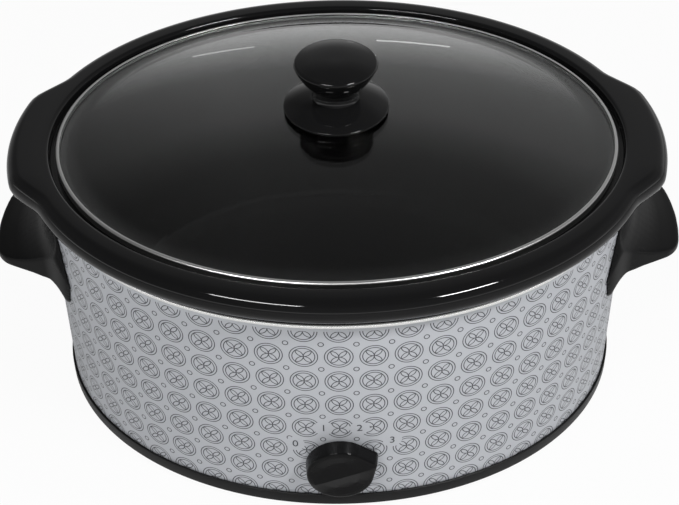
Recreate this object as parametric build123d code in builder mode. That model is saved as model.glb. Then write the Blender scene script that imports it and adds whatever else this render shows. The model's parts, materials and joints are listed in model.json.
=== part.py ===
from build123d import *
import os
from math import atan2, ceil, cos, degrees, radians, sin, sqrt

# Oval slow cooker: glass lid, stoneware crock, heating base with a rotary switch.
# Millimetres. X runs along the oval, the front faces -Y, Z is up, and the table is at zero.
# Most sizes across are offsets: the distance outside the oval of the rolled rim.

# Overall form
body_half_length = 180.0  # centre to the rolled rim along X
body_half_width = 146.0  # centre to the rolled rim along Y
rim_height = 153.6  # table to the top of the rolled rim
foot_height = 3.0  # table to the underside of the base tray

# Clearances
seat_gap = 0.3  # between parts that lift off and what they rest on
slip_gap = 0.3  # round sheet edges in their grooves, pins and screws in their holes
touch_gap = 0.05  # between parts that are screwed tight together
shaft_gap = 0.05  # radial, round the turning shaft
pick_tolerance = 1.0  # for choosing corners by their place
full_turn = 360
hex_sides = 6

# Outer wrap and heating well
sheet = 0.6
wrap_offset = -0.8  # outer face of the wrap, just inside the rolled rim
hole_margin = 3.0  # from a hole in the wrap to where its faces are divided
wrap_face_turn = 4.0  # most degrees that one of its faces bends through
bead_size = 3.8  # rolled rim, across and high
bead_flat = 0.1  # left straight between the rolled rim's roundings
well_sheet = 0.7
well_top_inset = 6.0
well_floor_inset = 26.0
well_corner = 22.0
well_flange_drop = 1.1  # rolled rim's top down to the well's flange

# Base tray, feet and what stands on the tray
tray_ring_height = 8.4
tray_ring_proud = 0.8
tray_ring_inset = 4.6
tray_floor = 2.5
tray_edge_round = 0.6
boss_height = 5.0
boss_radius = 7.0
shield_sheet = 0.6
shield_inset = 30.0
post_radius = 4.5
post_length = 12.9
post_inset = (96.0, 86.0)  # from the oval's ends and sides
foot_inset = (62.0, 64.0)
foot_radius = 9.0
foot_socket = 1.5
foot_stem_radius = 3.0
foot_stem_length = 5.0
vent_size = (34.0, 4.0)
vent_pitch = 12.0
vent_count = 5

# Screws, as shank radius, head radius and head height
base_screw = (2.0, 3.8, 2.4)
base_screw_bite = 7.0  # thread engaged in the post
handle_screw = (2.0, 4.0, 2.3)
handle_screw_bite = 11.0
lid_screw = (2.5, 5.0, 2.6)
block_screw = (1.5, 2.8, 1.6)
thread_gap = 0.05

# Crock
crock_gap = 2.8  # crock wall to the well
crock_floor_gap = 3.3
crock_wall = 8.0
crock_floor = 8.0
crock_corner = 24.0
crock_inner_corner = 18.0
collar_height = 5.9  # rolled rim up to the underside of the crock's rim
collar_inset = 1.0
collar_bite = 2.0  # collar's top inside the crock's rim
crock_rim_height = 16.4
crock_rim_reach = 9.7
crock_rim_inset = 6.2  # inner edge of the rim at its top
crock_rim_flat = 0.2  # left straight between the rim's outer roundings
lid_recess = 6.9
ledge_inset = 16.5
inner_edge_round = 2.5
ledge_round = 3.0
foot_ring_depth = 1.5
foot_ring_inset = 58.0
wing_reach = 19.6  # crock wing's end, outside the rolled rim
wing_tip_half_width = 44.0
wing_root_half_width = 67.0
wing_tip_round = 28.0
wing_root_round = 22.0

# Lid
band_inset = 10.0
band_height = 5.4
band_sheet = 0.5
band_lip = 1.8
band_round = 1.3
glass = 4.0
glass_edge_gap = 0.3
glass_edge_round = 1.2
lid_flat = 8.2  # flat margin of the glass inside the band's lip
lid_rise = 19.8
lid_crown = 0.16  # flat crown under the knob, as a share of the dome
dome_power = 1.0
dome_steps = 7
lid_hole = 4.5

# Lid knob
seal = 1.2
seal_radius = 16.0
washer = 1.0
washer_radius = 8.0
under_seal = 1.0
under_seal_radius = 9.0
skirt_radius = 31.6
skirt_edge = 1.8
skirt_edge_round = 0.8
skirt_lip = 0.4  # how far the skirt's edge reaches down beside the seal
skirt_lip_width = 2.6
skirt_boss_radius = 15.5
skirt_rise = 7.7
skirt_bulge = 0.9
neck_radius = 13.1
neck_height = 6.5
head_radius = 24.8
head_under = 15.5  # neck's top up to the widest part of the head
head_bulge = 1.55
head_edge = 1.9
head_edge_bulge = 0.4
head_crown = 2.8
insert_radius = 4.2
insert_length = 8.8
insert_inset = 0.4

# Side handles
handle_drop = 10.6  # rolled rim's top down to the handle's plate
handle_plate_height = 57.0
handle_plate = 4.0
handle_top_half_width = 52.0
handle_mid_half_width = 62.0
handle_foot_half_width = 56.0
handle_corner_round = 9.0
handle_rail_angle = 30.0  # half the arc that the section is swept along
grip_reach = 36.0  # grip's tip outside the wrap
grip_rise = 20.5  # plate's foot up to the middle of the grip's edge
grip_edge = 8.6
grip_slope = 2.6  # how much the grip's top falls towards its tip
grip_top_sweep = 19.0
grip_top_hollow = 7.6
grip_under_sweep = 13.0
grip_under_hollow = 3.9
grip_tip_half_width = 36.0
grip_tip_round = 20.0
grip_edge_round = 1.4
backing = 1.0
backing_half_width = 50.0
backing_height = 26.0
handle_screw_half_span = 34.0

# Band heater and insulation
heater_rise = 38.0  # well's underside up to the heater
heater_height = 46.0
heater = 2.7
heater_gap = 0.3
heater_split = 9.0  # half the gap between the heater's ends
ear_sheet = 1.6
ear_length = 10.0
ear_height = 18.0
clamp_bolt = (2.0, 3.6, 2.6)
clamp_nut = 3.2
bolt_past_nut = 1.6
stud_radius = 2.2
stud_length = 9.0
stud_rise = 8.0  # heater's lower edge up to its studs
front_stud_half_span = 22.0
back_stud_offset = 16.0
insulation = 2.8
insulation_rise = 34.0
insulation_height = 62.0
front_window_half_width = 36.0
back_window = (4.0, 28.0)  # from and to, along X

# Rotary switch and control knob
knob_axis_height = 40.0
pointer_angle = 22.5  # above level, to the right, as seen from the front
switch_side = 28.0
switch_depth = 11.0
switch_cover = 2.0
switch_stand_off = 0.8
switch_corner = 2.0
rotor_radius = 10.0
rotor_depth = 5.5
rotor_gap = 0.4
rotor_notches = 8
rotor_notch_radius = 1.2
cavity_depth = 7.1
bush_radius = 4.7
bush_reach = 4.0  # outside the wrap
bush_shoulder_radius = 7.0
nut_across_flats = 12.0
nut_height = 2.4
shaft_radius = 3.0
shaft_reach = 10.0
shaft_flat = 1.5  # axis to the flat
tab_size = (8.0, 0.8, 4.8)
tab_half_span = 8.0
tab_inset = 7.8  # from the switch's front face
knob_gap = 1.1  # wrap to the back of the knob
knob_radius = 20.6
knob_point = 3.9  # pointer's tip past the round back
knob_tip_round = 3.0
knob_front = 12.4  # wrap to the front of the knob's grip
knob_lean = 2.0  # front's radius less than the back's
knob_front_point = 3.4
knob_front_round = 0.9
grip_half_width = 9.2  # the grip across the knob, at its front
scoop_radius = 5.4  # hollow on each side of the grip
scoop_middle = 14.5  # knob's axis to the deepest line of a hollow
knob_rim = 7.8  # wrap to the knob's edge outside the hollows
knob_recess_radius = 9.0
knob_recess_clear = 0.6
clip = 0.4
clip_width = 4.4

# Thermal fuse, terminal block and wires
fuse_radius = 2.4
fuse_length = 12.0
fuse_place = (-30.0, -20.0)
fuse_gap = 0.4
fuse_strap = 0.6
fuse_strap_width = 6.0
fuse_strap_tab = 5.0
block_size = (28.0, 16.0, 10.0)
block_inset = 54.0  # block's middle from the oval's back
block_edge_round = 1.5
sleeve_radius = 2.6
sleeve_half_span = 8.0
wire_radius = 1.1
wire_bend = 4.0
wire_gap = 0.1
supply_run = 56.0  # straight from the block towards the front
fuse_lead = 36.0  # straight into the fuse

# Cord gland
gland_height = 24.0
gland_bore = 3.6
gland_mouth = 4.6  # wider inner end of the bore
gland_mouth_reach = 1.0  # that end's depth outside the wrap
gland_neck = 5.9
gland_flange = 8.5
gland_flange_depth = 2.5
gland_nose = 4.9
gland_reach = 12.4
gland_inner_reach = 6.0
gland_barb = 0.9

os.makedirs("parts", exist_ok=True)

# Heights that follow from the sizes above
tray_floor_top = foot_height + tray_floor
tray_top = foot_height + tray_ring_height
groove_floor = tray_floor_top + 0.5 * tray_floor
boss_top = tray_floor_top + boss_height
shield_top = boss_top + shield_sheet
well_floor_z = shield_top + post_length
bead_bottom = rim_height - bead_size
bead_round = (bead_size - bead_flat) / 2
flange_top = rim_height - well_flange_drop
crock_bottom = well_floor_z + well_sheet + crock_floor_gap
cavity_bottom = crock_bottom + crock_floor
collar_bottom = rim_height + seat_gap
crock_rim_bottom = collar_bottom + collar_height
crock_top = crock_rim_bottom + crock_rim_height
crock_rim_round = (crock_rim_height - crock_rim_flat) / 2
ledge_z = crock_top - lid_recess
band_bottom = ledge_z + seat_gap
band_top = band_bottom + band_height
glass_bottom = band_bottom + (band_height - glass) / 2
glass_top = glass_bottom + glass
crown_top = glass_top + lid_rise
crown_bottom = crown_top - glass
skirt_bottom = crown_top + seal
skirt_top = skirt_bottom + skirt_rise
neck_top = skirt_top + neck_height
handle_top = rim_height - handle_drop
handle_bottom = handle_top - handle_plate_height
grip_middle = handle_bottom + grip_rise
heater_bottom = well_floor_z + heater_rise
heater_top = heater_bottom + heater_height
heater_middle = (heater_bottom + heater_top) / 2
stud_z = heater_bottom + stud_rise
insulation_bottom = well_floor_z + insulation_rise

# Places across that follow from the sizes above
wrap_inner = wrap_offset - sheet
wrap_front = body_half_width + wrap_offset
switch_front = body_half_width + wrap_inner - switch_stand_off
knob_tip = knob_radius + knob_point
knob_front_radius = knob_radius - knob_lean
knob_front_tip = knob_front_radius + knob_front_point
crock_wall_top_offset = -(well_top_inset + well_sheet + crock_gap)
crock_wall_floor_offset = -(well_floor_inset + well_sheet + crock_gap)
post_x = body_half_length - post_inset[0]
post_y = body_half_width - post_inset[1]
screw_places = [(x, y) for x in (-post_x, post_x) for y in (-post_y, post_y)]
foot_x = body_half_length - foot_inset[0]
foot_y = body_half_width - foot_inset[1]
foot_places = {
    "foot_back_left": (-foot_x, foot_y),
    "foot_back_right": (foot_x, foot_y),
    "foot_front_left": (-foot_x, -foot_y),
    "foot_front_right": (foot_x, -foot_y),
}


def well_offset(z):
    """Offset of the well's leaning outer wall at a height."""
    share = (z - well_floor_z) / (flange_top - well_floor_z)
    return -well_floor_inset + share * (well_floor_inset - well_top_inset)


def oval_x(offset, y):
    """Half length of an offset oval at a distance from its long axis."""
    return (body_half_length + offset) * sqrt(1 - (y / (body_half_width + offset)) ** 2)


def oval_y(offset, x):
    """Half width of an offset oval at a distance from its short axis."""
    return (body_half_width + offset) * sqrt(1 - (x / (body_half_length + offset)) ** 2)


def oval(offset, mode=Mode.ADD):
    """Oval outline at an offset."""
    Ellipse(body_half_length + offset, body_half_width + offset, mode=mode)


def oval_slab(offset, bottom, top, mode=Mode.ADD):
    """Upright oval block between two heights."""
    with BuildSketch(Plane.XY.offset(bottom)) as outline:
        oval(offset)
    extrude(outline.sketch, amount=top - bottom, mode=mode)


def oval_ring(outer, inner, bottom, top, mode=Mode.ADD):
    """Upright oval wall between two offsets and two heights."""
    with BuildSketch(Plane.XY.offset(bottom)) as outline:
        oval(outer)
        oval(inner, mode=Mode.SUBTRACT)
    extrude(outline.sketch, amount=top - bottom, mode=mode)


def oval_taper(low_offset, low_z, high_offset, high_z, mode=Mode.ADD):
    """Oval block whose wall leans from one height to another."""
    with BuildSketch(Plane.XY.offset(low_z)) as low:
        oval(low_offset)
    with BuildSketch(Plane.XY.offset(high_z)) as high:
        oval(high_offset)
    loft([low.sketch, high.sketch], ruled=True, mode=mode)


def oval_bowl(low_offset, low_z, high_offset, high_z, corner):
    """Oval block with leaning walls and a rounded foot."""
    with BuildPart() as bowl:
        oval_taper(low_offset, low_z, high_offset, high_z)
        fillet(bowl.edges().group_by(Axis.Z)[0], corner)
    return bowl.part


def well_layer(start, end, bottom, top):
    """Wall that follows the well's lean, between two distances from it."""
    oval_taper(well_offset(bottom) + end, bottom, well_offset(top) + end, top)
    oval_taper(well_offset(bottom) + start, bottom, well_offset(top) + start, top, mode=Mode.SUBTRACT)


def front_plane(distance):
    """Upright plane on the knob's axis, a distance outside the wrap's front."""
    return Plane((0, -(wrap_front + distance), knob_axis_height), x_dir=(1, 0, 0), z_dir=(0, -1, 0))


def back_plane(distance):
    """Upright plane on the gland's axis, a distance outside the wrap's back."""
    return Plane((0, wrap_front + distance, gland_height), x_dir=(-1, 0, 0), z_dir=(0, 1, 0))


def disc(plane, radius, height, mode=Mode.ADD, clean=True):
    """Round boss or hole that starts on a plane and follows its normal."""
    with BuildSketch(plane) as outline:
        Circle(radius)
    extrude(outline.sketch, amount=height, clean=clean, mode=mode)


def block(lowest, highest, mode=Mode.ADD):
    """Box between two corners."""
    size = [high - low for low, high in zip(lowest, highest)]
    with Locations(lowest):
        Box(*size, align=(Align.MIN, Align.MIN, Align.MIN), mode=mode)


def screw(plane, size, length):
    """Round-headed screw: the head stands on the plane, the shank runs along its normal."""
    shank_radius, head_radius, head_height = size
    disc(plane.offset(-head_height), head_radius, head_height)
    disc(plane, shank_radius, length)


def wire(points):
    """Insulated wire along straight runs and round bends."""
    with BuildPart() as run:
        with BuildLine() as route:
            FilletPolyline(*points, radius=wire_bend)
        with BuildSketch(Plane(route.line @ 0, z_dir=route.line % 0)):
            Circle(wire_radius)
        sweep()
    return run


def on_wrap(edge):
    """Whether an edge lies on the handle's inner face, against the wrap."""
    middle = edge.position_at(1 / 2)
    along = middle.X / (body_half_length + handle_inner)
    across = middle.Y / (body_half_width + handle_inner)
    return along**2 + across**2 < 1 + touch_gap / body_half_length


# Handle screws stand square to the wrap, beside the grip's root
def handle_screw_plane(side, y, depth):
    """Plane square to the wrap where a handle screw passes, a depth inside its inner face."""
    half_length = body_half_length + wrap_inner
    half_width = body_half_width + wrap_inner
    x = side * oval_x(wrap_inner, y)
    normal = Vector(x / half_length**2, y / half_width**2, 0).normalized()
    return Plane(Vector(x, y, grip_middle) - normal * depth, z_dir=normal)


handle_screw_ys = (-handle_screw_half_span, handle_screw_half_span)
handle_screw_sites = [(side, y) for side in (-1, 1) for y in handle_screw_ys]


# The wrap's faces are divided beside each hole and on round the oval, so that no face bends far
wrap_holes = [
    (front_plane(-well_floor_inset), bush_radius + slip_gap, 2 * well_floor_inset),
    (back_plane(-well_floor_inset), gland_neck + slip_gap, 2 * well_floor_inset),
]
for side, y in handle_screw_sites:
    plane = handle_screw_plane(side, y, handle_plate)
    wrap_holes.append((plane, handle_screw[0] + slip_gap, 2 * handle_plate))
wrap_breaks = []
for plane, radius, length in wrap_holes:
    for shift in (-radius - hole_margin, radius + hole_margin):
        spot = plane.origin + Vector(0, 0, 1).cross(plane.z_dir) * shift
        turn = atan2(spot.Y / body_half_width, spot.X / body_half_length)
        wrap_breaks.append(degrees(turn) % full_turn)
wrap_breaks.sort()
wrap_arcs = []
for start, end in zip(wrap_breaks, wrap_breaks[1:] + [wrap_breaks[0] + full_turn]):
    count = ceil((end - start) / wrap_face_turn)
    wrap_arcs += [(start + (end - start) * step / count, (end - start) / count) for step in range(count)]

# Outer wrap: one printed sheet, bent to the oval
wrap_bottom = groove_floor + slip_gap
wrap_height = rim_height - bead_size / 2 - wrap_bottom
with BuildPart() as outer_wrap:
    for offset, mode in ((wrap_offset, Mode.ADD), (wrap_inner, Mode.SUBTRACT)):
        with BuildSketch(Plane.XY.offset(wrap_bottom)) as outline:
            with BuildLine():
                for start, turn in wrap_arcs:
                    EllipticalCenterArc(
                        (0, 0),
                        body_half_length + offset,
                        body_half_width + offset,
                        start_angle=start,
                        arc_size=turn,
                    )
            make_face()
        extrude(outline.sketch, amount=wrap_height, clean=False, mode=mode)
    for plane, radius, length in wrap_holes:
        disc(plane, radius, length, mode=Mode.SUBTRACT, clean=False)

# Heating well: a deep pan whose edge is rolled over the wrap's top
well_outside = oval_bowl(-well_floor_inset, well_floor_z, -well_top_inset, flange_top, well_corner)
well_inside = oval_bowl(
    -(well_floor_inset + well_sheet),
    well_floor_z + well_sheet,
    -(well_top_inset + well_sheet),
    flange_top,
    well_corner - well_sheet,
)
with BuildPart() as rolled_rim:
    oval_ring(0, -bead_size, bead_bottom, rim_height)
    fillet(rolled_rim.edges().filter_by(GeomType.ELLIPSE), bead_round)
with BuildPart() as heating_well:
    add(well_outside)
    add(well_inside, mode=Mode.SUBTRACT)
    add(rolled_rim.part)
    oval_ring(-bead_size / 2, -(well_top_inset + well_sheet), flange_top - well_sheet, flange_top)
    groove_top = rim_height - bead_size / 2 + slip_gap
    oval_ring(wrap_offset + slip_gap, wrap_inner - slip_gap, bead_bottom, groove_top, mode=Mode.SUBTRACT)

# Base tray: the black ring at the foot and the floor that closes the base
with BuildPart() as base_tray:
    oval_slab(tray_ring_proud, foot_height, tray_top)
    fillet(base_tray.edges().filter_by(GeomType.ELLIPSE), tray_edge_round)
    oval_slab(-tray_ring_inset, tray_floor_top, tray_top, mode=Mode.SUBTRACT)
    oval_ring(wrap_offset + slip_gap, wrap_inner - slip_gap, groove_floor, tray_top, mode=Mode.SUBTRACT)
    with BuildSketch(Plane.XY.offset(foot_height)):
        with Locations(*screw_places):
            Circle(boss_radius)
    extrude(amount=boss_top - foot_height)
    with BuildSketch(Plane.XY.offset(foot_height)):
        with Locations(*screw_places):
            Circle(base_screw[0] + slip_gap)
    extrude(amount=boss_top - foot_height, mode=Mode.SUBTRACT)
    with BuildSketch(Plane.XY.offset(foot_height)):
        with Locations(*screw_places):
            Circle(base_screw[1] + 2 * slip_gap)
    extrude(amount=base_screw[2] + 2 * slip_gap, mode=Mode.SUBTRACT)
    with BuildSketch(Plane.XY.offset(foot_height)):
        with Locations(*foot_places.values()):
            Circle(foot_radius + tray_floor)
    extrude(amount=foot_socket + tray_floor)
    with BuildSketch(Plane.XY.offset(foot_height)):
        with Locations(*foot_places.values()):
            Circle(foot_radius + touch_gap)
    extrude(amount=foot_socket, mode=Mode.SUBTRACT)
    with BuildSketch(Plane.XY.offset(foot_height)):
        with Locations(*foot_places.values()):
            Circle(foot_stem_radius + touch_gap)
    extrude(amount=foot_socket + tray_floor, mode=Mode.SUBTRACT)
    with BuildSketch(Plane.XY.offset(foot_height)):
        with GridLocations(0, vent_pitch, 1, vent_count):
            SlotOverall(*vent_size)
    extrude(amount=tray_floor, mode=Mode.SUBTRACT)

# Rubber feet: a pad with a stem pushed through the tray
feet = {}
for name, place in foot_places.items():
    with BuildPart() as foot:
        with BuildSketch():
            with Locations(place):
                Circle(foot_radius)
        extrude(amount=foot_height + foot_socket)
        chamfer(foot.edges().group_by(Axis.Z)[0], foot_socket / 2)
        with BuildSketch(Plane.XY.offset(foot_height)):
            with Locations(place):
                Circle(foot_stem_radius)
        extrude(amount=foot_stem_length)
    feet[name] = foot

# Heat shield, the posts that carry the well, and the screws up through the tray
with BuildPart() as heat_shield:
    oval_slab(-shield_inset, boss_top, shield_top)
    with Locations(*[(x, y, shield_top) for x, y in screw_places]):
        Hole(base_screw[0] + slip_gap, depth=shield_sheet)
with BuildPart() as well_posts:
    with BuildSketch(Plane.XY.offset(shield_top)):
        with Locations(*screw_places):
            RegularPolygon(post_radius, hex_sides)
            Circle(base_screw[0] + thread_gap, mode=Mode.SUBTRACT)
    extrude(amount=post_length)
with BuildPart() as base_screws:
    head_seat = foot_height + base_screw[2] + 2 * slip_gap
    for x, y in screw_places:
        screw(Plane((x, y, head_seat)), base_screw, shield_top + base_screw_bite - head_seat)

# Band heater with two ears that a bolt draws together, and its studs
heater_front = body_half_width + well_offset(heater_middle) + heater_gap + heater
with BuildPart() as heater_band:
    well_layer(heater_gap, heater_gap + heater, heater_bottom, heater_top)
    block(
        (-heater_split, -body_half_width, heater_bottom),
        (heater_split, 0, heater_top),
        mode=Mode.SUBTRACT,
    )
    for side in (-1, 1):
        inner = side * heater_split
        outer = side * (heater_split + ear_sheet)
        block(
            (min(inner, outer), -(heater_front + ear_length), heater_middle - ear_height / 2),
            (max(inner, outer), -(heater_front - heater / 2), heater_middle + ear_height / 2),
        )
    bolt_axis = Plane(
        (-(heater_split + ear_sheet), -(heater_front + ear_length / 2), heater_middle), z_dir=(1, 0, 0)
    )
    disc(bolt_axis, clamp_bolt[0] + slip_gap, 2 * (heater_split + ear_sheet), mode=Mode.SUBTRACT)
with BuildPart() as heater_clamp_bolt:
    screw(bolt_axis, clamp_bolt, 2 * (heater_split + ear_sheet) + clamp_nut + bolt_past_nut)
with BuildPart() as heater_clamp_nut:
    with BuildSketch(bolt_axis.offset(2 * (heater_split + ear_sheet))):
        RegularPolygon(clamp_bolt[1], hex_sides)
        Circle(clamp_bolt[0] + thread_gap, mode=Mode.SUBTRACT)
    extrude(amount=clamp_nut)
stud_offset = well_offset(stud_z + stud_radius) + heater_gap + heater + touch_gap
front_stud_y = -oval_y(stud_offset, front_stud_half_span - stud_radius)
back_stud_y = oval_y(stud_offset, back_stud_offset - stud_radius)
with BuildPart() as heater_studs:
    for x in (-front_stud_half_span, front_stud_half_span):
        disc(Plane((x, front_stud_y, stud_z), z_dir=(0, -1, 0)), stud_radius, stud_length)
    disc(Plane((back_stud_offset, back_stud_y, stud_z), z_dir=(0, 1, 0)), stud_radius, stud_length)

# Insulation round the heater, open at the front for the ears and at the back for a stud
with BuildPart() as insulation_wrap:
    insulation_start = heater_gap + heater + heater_gap
    insulation_top = insulation_bottom + insulation_height
    well_layer(insulation_start, insulation_start + insulation, insulation_bottom, insulation_top)
    block(
        (-front_window_half_width, -body_half_width, insulation_bottom),
        (front_window_half_width, 0, insulation_top),
        mode=Mode.SUBTRACT,
    )
    block(
        (back_window[0], 0, insulation_bottom),
        (back_window[1], body_half_width, stud_z + back_window[0] + stud_radius),
        mode=Mode.SUBTRACT,
    )

# Crock: bowl, collar that rests on the rolled rim, thick rim with a wing at each end
crock_outside = oval_bowl(
    crock_wall_floor_offset, crock_bottom, crock_wall_top_offset, collar_bottom, crock_corner
)
crock_inside = oval_bowl(
    crock_wall_floor_offset - crock_wall, cavity_bottom, -ledge_inset, ledge_z, crock_inner_corner
)
with BuildPart() as crock_rim:
    wing_tip = (oval_x(wing_reach, wing_tip_half_width), wing_tip_half_width)
    wing_root = (oval_x(crock_rim_reach, wing_root_half_width), wing_root_half_width)
    lean = (wing_tip[0] - wing_root[0]) / (wing_root[1] - wing_tip[1])
    wing_point = wing_tip[0] + lean * wing_tip[1]
    deep_half_width = wing_root[1] + wing_reach
    deep_x = wing_point - lean * deep_half_width
    with BuildSketch(Plane.XY.offset(crock_rim_bottom)) as rim_plan:
        oval(wing_reach)
        Polygon(
            (wing_point, 0),
            (deep_x, deep_half_width),
            (-deep_x, deep_half_width),
            (-wing_point, 0),
            (-deep_x, -deep_half_width),
            (deep_x, -deep_half_width),
            align=None,
            mode=Mode.INTERSECT,
        )
        oval(crock_rim_reach)
        corners = rim_plan.vertices()
        roots = corners.filter_by(lambda v: abs(abs(v.Y) - wing_root_half_width) < pick_tolerance)
        fillet(roots, wing_root_round)
        corners = rim_plan.vertices()
        tips = corners.filter_by(lambda v: abs(abs(v.Y) - wing_tip_half_width) < pick_tolerance)
        fillet(tips, wing_tip_round)
    extrude(amount=crock_rim_height)
    levels = crock_rim.edges().group_by(Axis.Z)
    fillet(levels[0] + levels[-1], crock_rim_round)
with BuildPart() as crock:
    add(crock_outside)
    oval_slab(-collar_inset, collar_bottom, crock_rim_bottom + collar_bite)
    add(crock_rim.part)
    oval_slab(-crock_rim_inset, ledge_z, crock_top, mode=Mode.SUBTRACT)
    add(crock_inside, mode=Mode.SUBTRACT)
    oval_slab(-foot_ring_inset, crock_bottom, crock_bottom + foot_ring_depth, mode=Mode.SUBTRACT)
    rim_edges = crock.edges().filter_by(GeomType.ELLIPSE)
    top_edge = rim_edges.filter_by_position(Axis.Z, crock_top - touch_gap, crock_top + touch_gap)
    fillet(top_edge, inner_edge_round)
    ledge_edges = crock.edges().filter_by_position(Axis.Z, ledge_z - touch_gap, ledge_z + touch_gap)
    fillet(ledge_edges.sort_by(SortBy.LENGTH)[0], ledge_round)

# Lid: dome of glass with a flat margin, held in a folded steel band
dome_offset = -(band_inset + band_sheet + band_lip + lid_flat)
dome_half_length = body_half_length + dome_offset
dome_half_width = body_half_width + dome_offset


def glass_dome(base):
    """Solid under a dome that rises from the flat margin to a flat crown."""
    with BuildPart() as dome:
        for step in range(dome_steps + 1):
            share = 1 - (1 - lid_crown) * step / dome_steps
            height = lid_rise * ((1 - share**2) / (1 - lid_crown**2)) ** dome_power
            with BuildSketch(Plane.XY.offset(base + height)):
                Ellipse(dome_half_length * share, dome_half_width * share)
        loft()
    return dome.part


dome_outside = glass_dome(glass_top)
dome_inside = glass_dome(glass_bottom)
with BuildPart() as lid_glass:
    oval_slab(-(band_inset + band_sheet + glass_edge_gap), glass_bottom, glass_top)
    fillet(lid_glass.edges().filter_by(GeomType.ELLIPSE), glass_edge_round)
    add(dome_outside)
    add(dome_inside, mode=Mode.SUBTRACT)
    disc(Plane.XY.offset(crown_bottom), lid_hole, glass, mode=Mode.SUBTRACT)
with BuildPart() as band_groove:
    oval_ring(
        -(band_inset + band_sheet),
        -(band_inset + band_sheet + 2 * band_lip),
        band_bottom + band_sheet,
        band_top - band_sheet,
    )
    groove_edges = band_groove.edges().filter_by(GeomType.ELLIPSE).sort_by(SortBy.LENGTH)[-2:]
    fillet(groove_edges, band_round - band_sheet)
with BuildPart() as lid_rim_band:
    oval_ring(-band_inset, -(band_inset + band_sheet + band_lip), band_bottom, band_top)
    fillet(lid_rim_band.edges().filter_by(GeomType.ELLIPSE).sort_by(SortBy.LENGTH)[-2:], band_round)
    add(band_groove.part, mode=Mode.SUBTRACT)

# Lid knob and its fixing, from the soft washers up to the head
with BuildPart() as lid_knob_seal:
    disc(Plane.XY.offset(crown_top), seal_radius, seal)
    disc(Plane.XY.offset(crown_top), lid_screw[0] + slip_gap, seal, mode=Mode.SUBTRACT)
under_seal_bottom = crown_bottom - under_seal
with BuildPart() as lid_under_seal:
    disc(Plane.XY.offset(under_seal_bottom), under_seal_radius, under_seal)
    disc(Plane.XY.offset(under_seal_bottom), lid_screw[0] + slip_gap, under_seal, mode=Mode.SUBTRACT)
washer_bottom = under_seal_bottom - washer
with BuildPart() as lid_washer:
    disc(Plane.XY.offset(washer_bottom), washer_radius, washer)
    disc(Plane.XY.offset(washer_bottom), lid_screw[0] + slip_gap, washer, mode=Mode.SUBTRACT)
insert_bottom = skirt_top + insert_inset
with BuildPart() as lid_knob_screw:
    screw_end = insert_bottom + insert_length - insert_inset
    screw(Plane.XY.offset(washer_bottom), lid_screw, screw_end - washer_bottom)
with BuildPart() as lid_knob_skirt:
    with BuildSketch(Plane.XZ) as skirt_profile:
        with BuildLine():
            bore = lid_screw[0] + slip_gap
            Polyline(
                (bore, skirt_top),
                (bore, skirt_bottom),
                (skirt_radius - skirt_lip_width, skirt_bottom),
                (skirt_radius - skirt_lip_width, skirt_bottom - skirt_lip),
                (skirt_radius, skirt_bottom - skirt_lip),
                (skirt_radius, skirt_bottom - skirt_lip + skirt_edge),
            )
            skirt_shoulder = (skirt_radius, skirt_bottom - skirt_lip + skirt_edge)
            SagittaArc(skirt_shoulder, (skirt_boss_radius, skirt_top), -skirt_bulge)
            Line((skirt_boss_radius, skirt_top), (bore, skirt_top))
        make_face()
        outer_corners = skirt_profile.vertices().filter_by(lambda v: v.X > skirt_radius - touch_gap)
        fillet(outer_corners, skirt_edge_round)
    revolve(axis=Axis.Z)
with BuildPart() as lid_knob:
    widest = neck_top + head_under
    with BuildSketch(Plane.XZ):
        with BuildLine():
            Line((0, skirt_top), (skirt_boss_radius - insert_inset, skirt_top))
            ThreePointArc(
                (skirt_boss_radius - insert_inset, skirt_top),
                (neck_radius + insert_inset, skirt_top + neck_height / 2),
                (neck_radius, neck_top),
            )
            SagittaArc((neck_radius, neck_top), (head_radius, widest), -head_bulge)
            head_rim = (head_radius - head_edge, widest + head_edge)
            head_top = (0, widest + head_edge + head_crown)
            SagittaArc((head_radius, widest), head_rim, -head_edge_bulge)
            TangentArc(head_top, head_rim, tangent=(1, 0))
            Line(head_top, (0, skirt_top))
        make_face()
    revolve(axis=Axis.Z)
    disc(Plane.XY.offset(skirt_top), insert_radius, insert_inset + insert_length, mode=Mode.SUBTRACT)
with BuildPart() as lid_knob_insert:
    disc(Plane.XY.offset(insert_bottom), insert_radius, insert_length)
    thread_depth = insert_length - insert_inset
    disc(Plane.XY.offset(insert_bottom), lid_screw[0] + thread_gap, thread_depth, mode=Mode.SUBTRACT)

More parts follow.
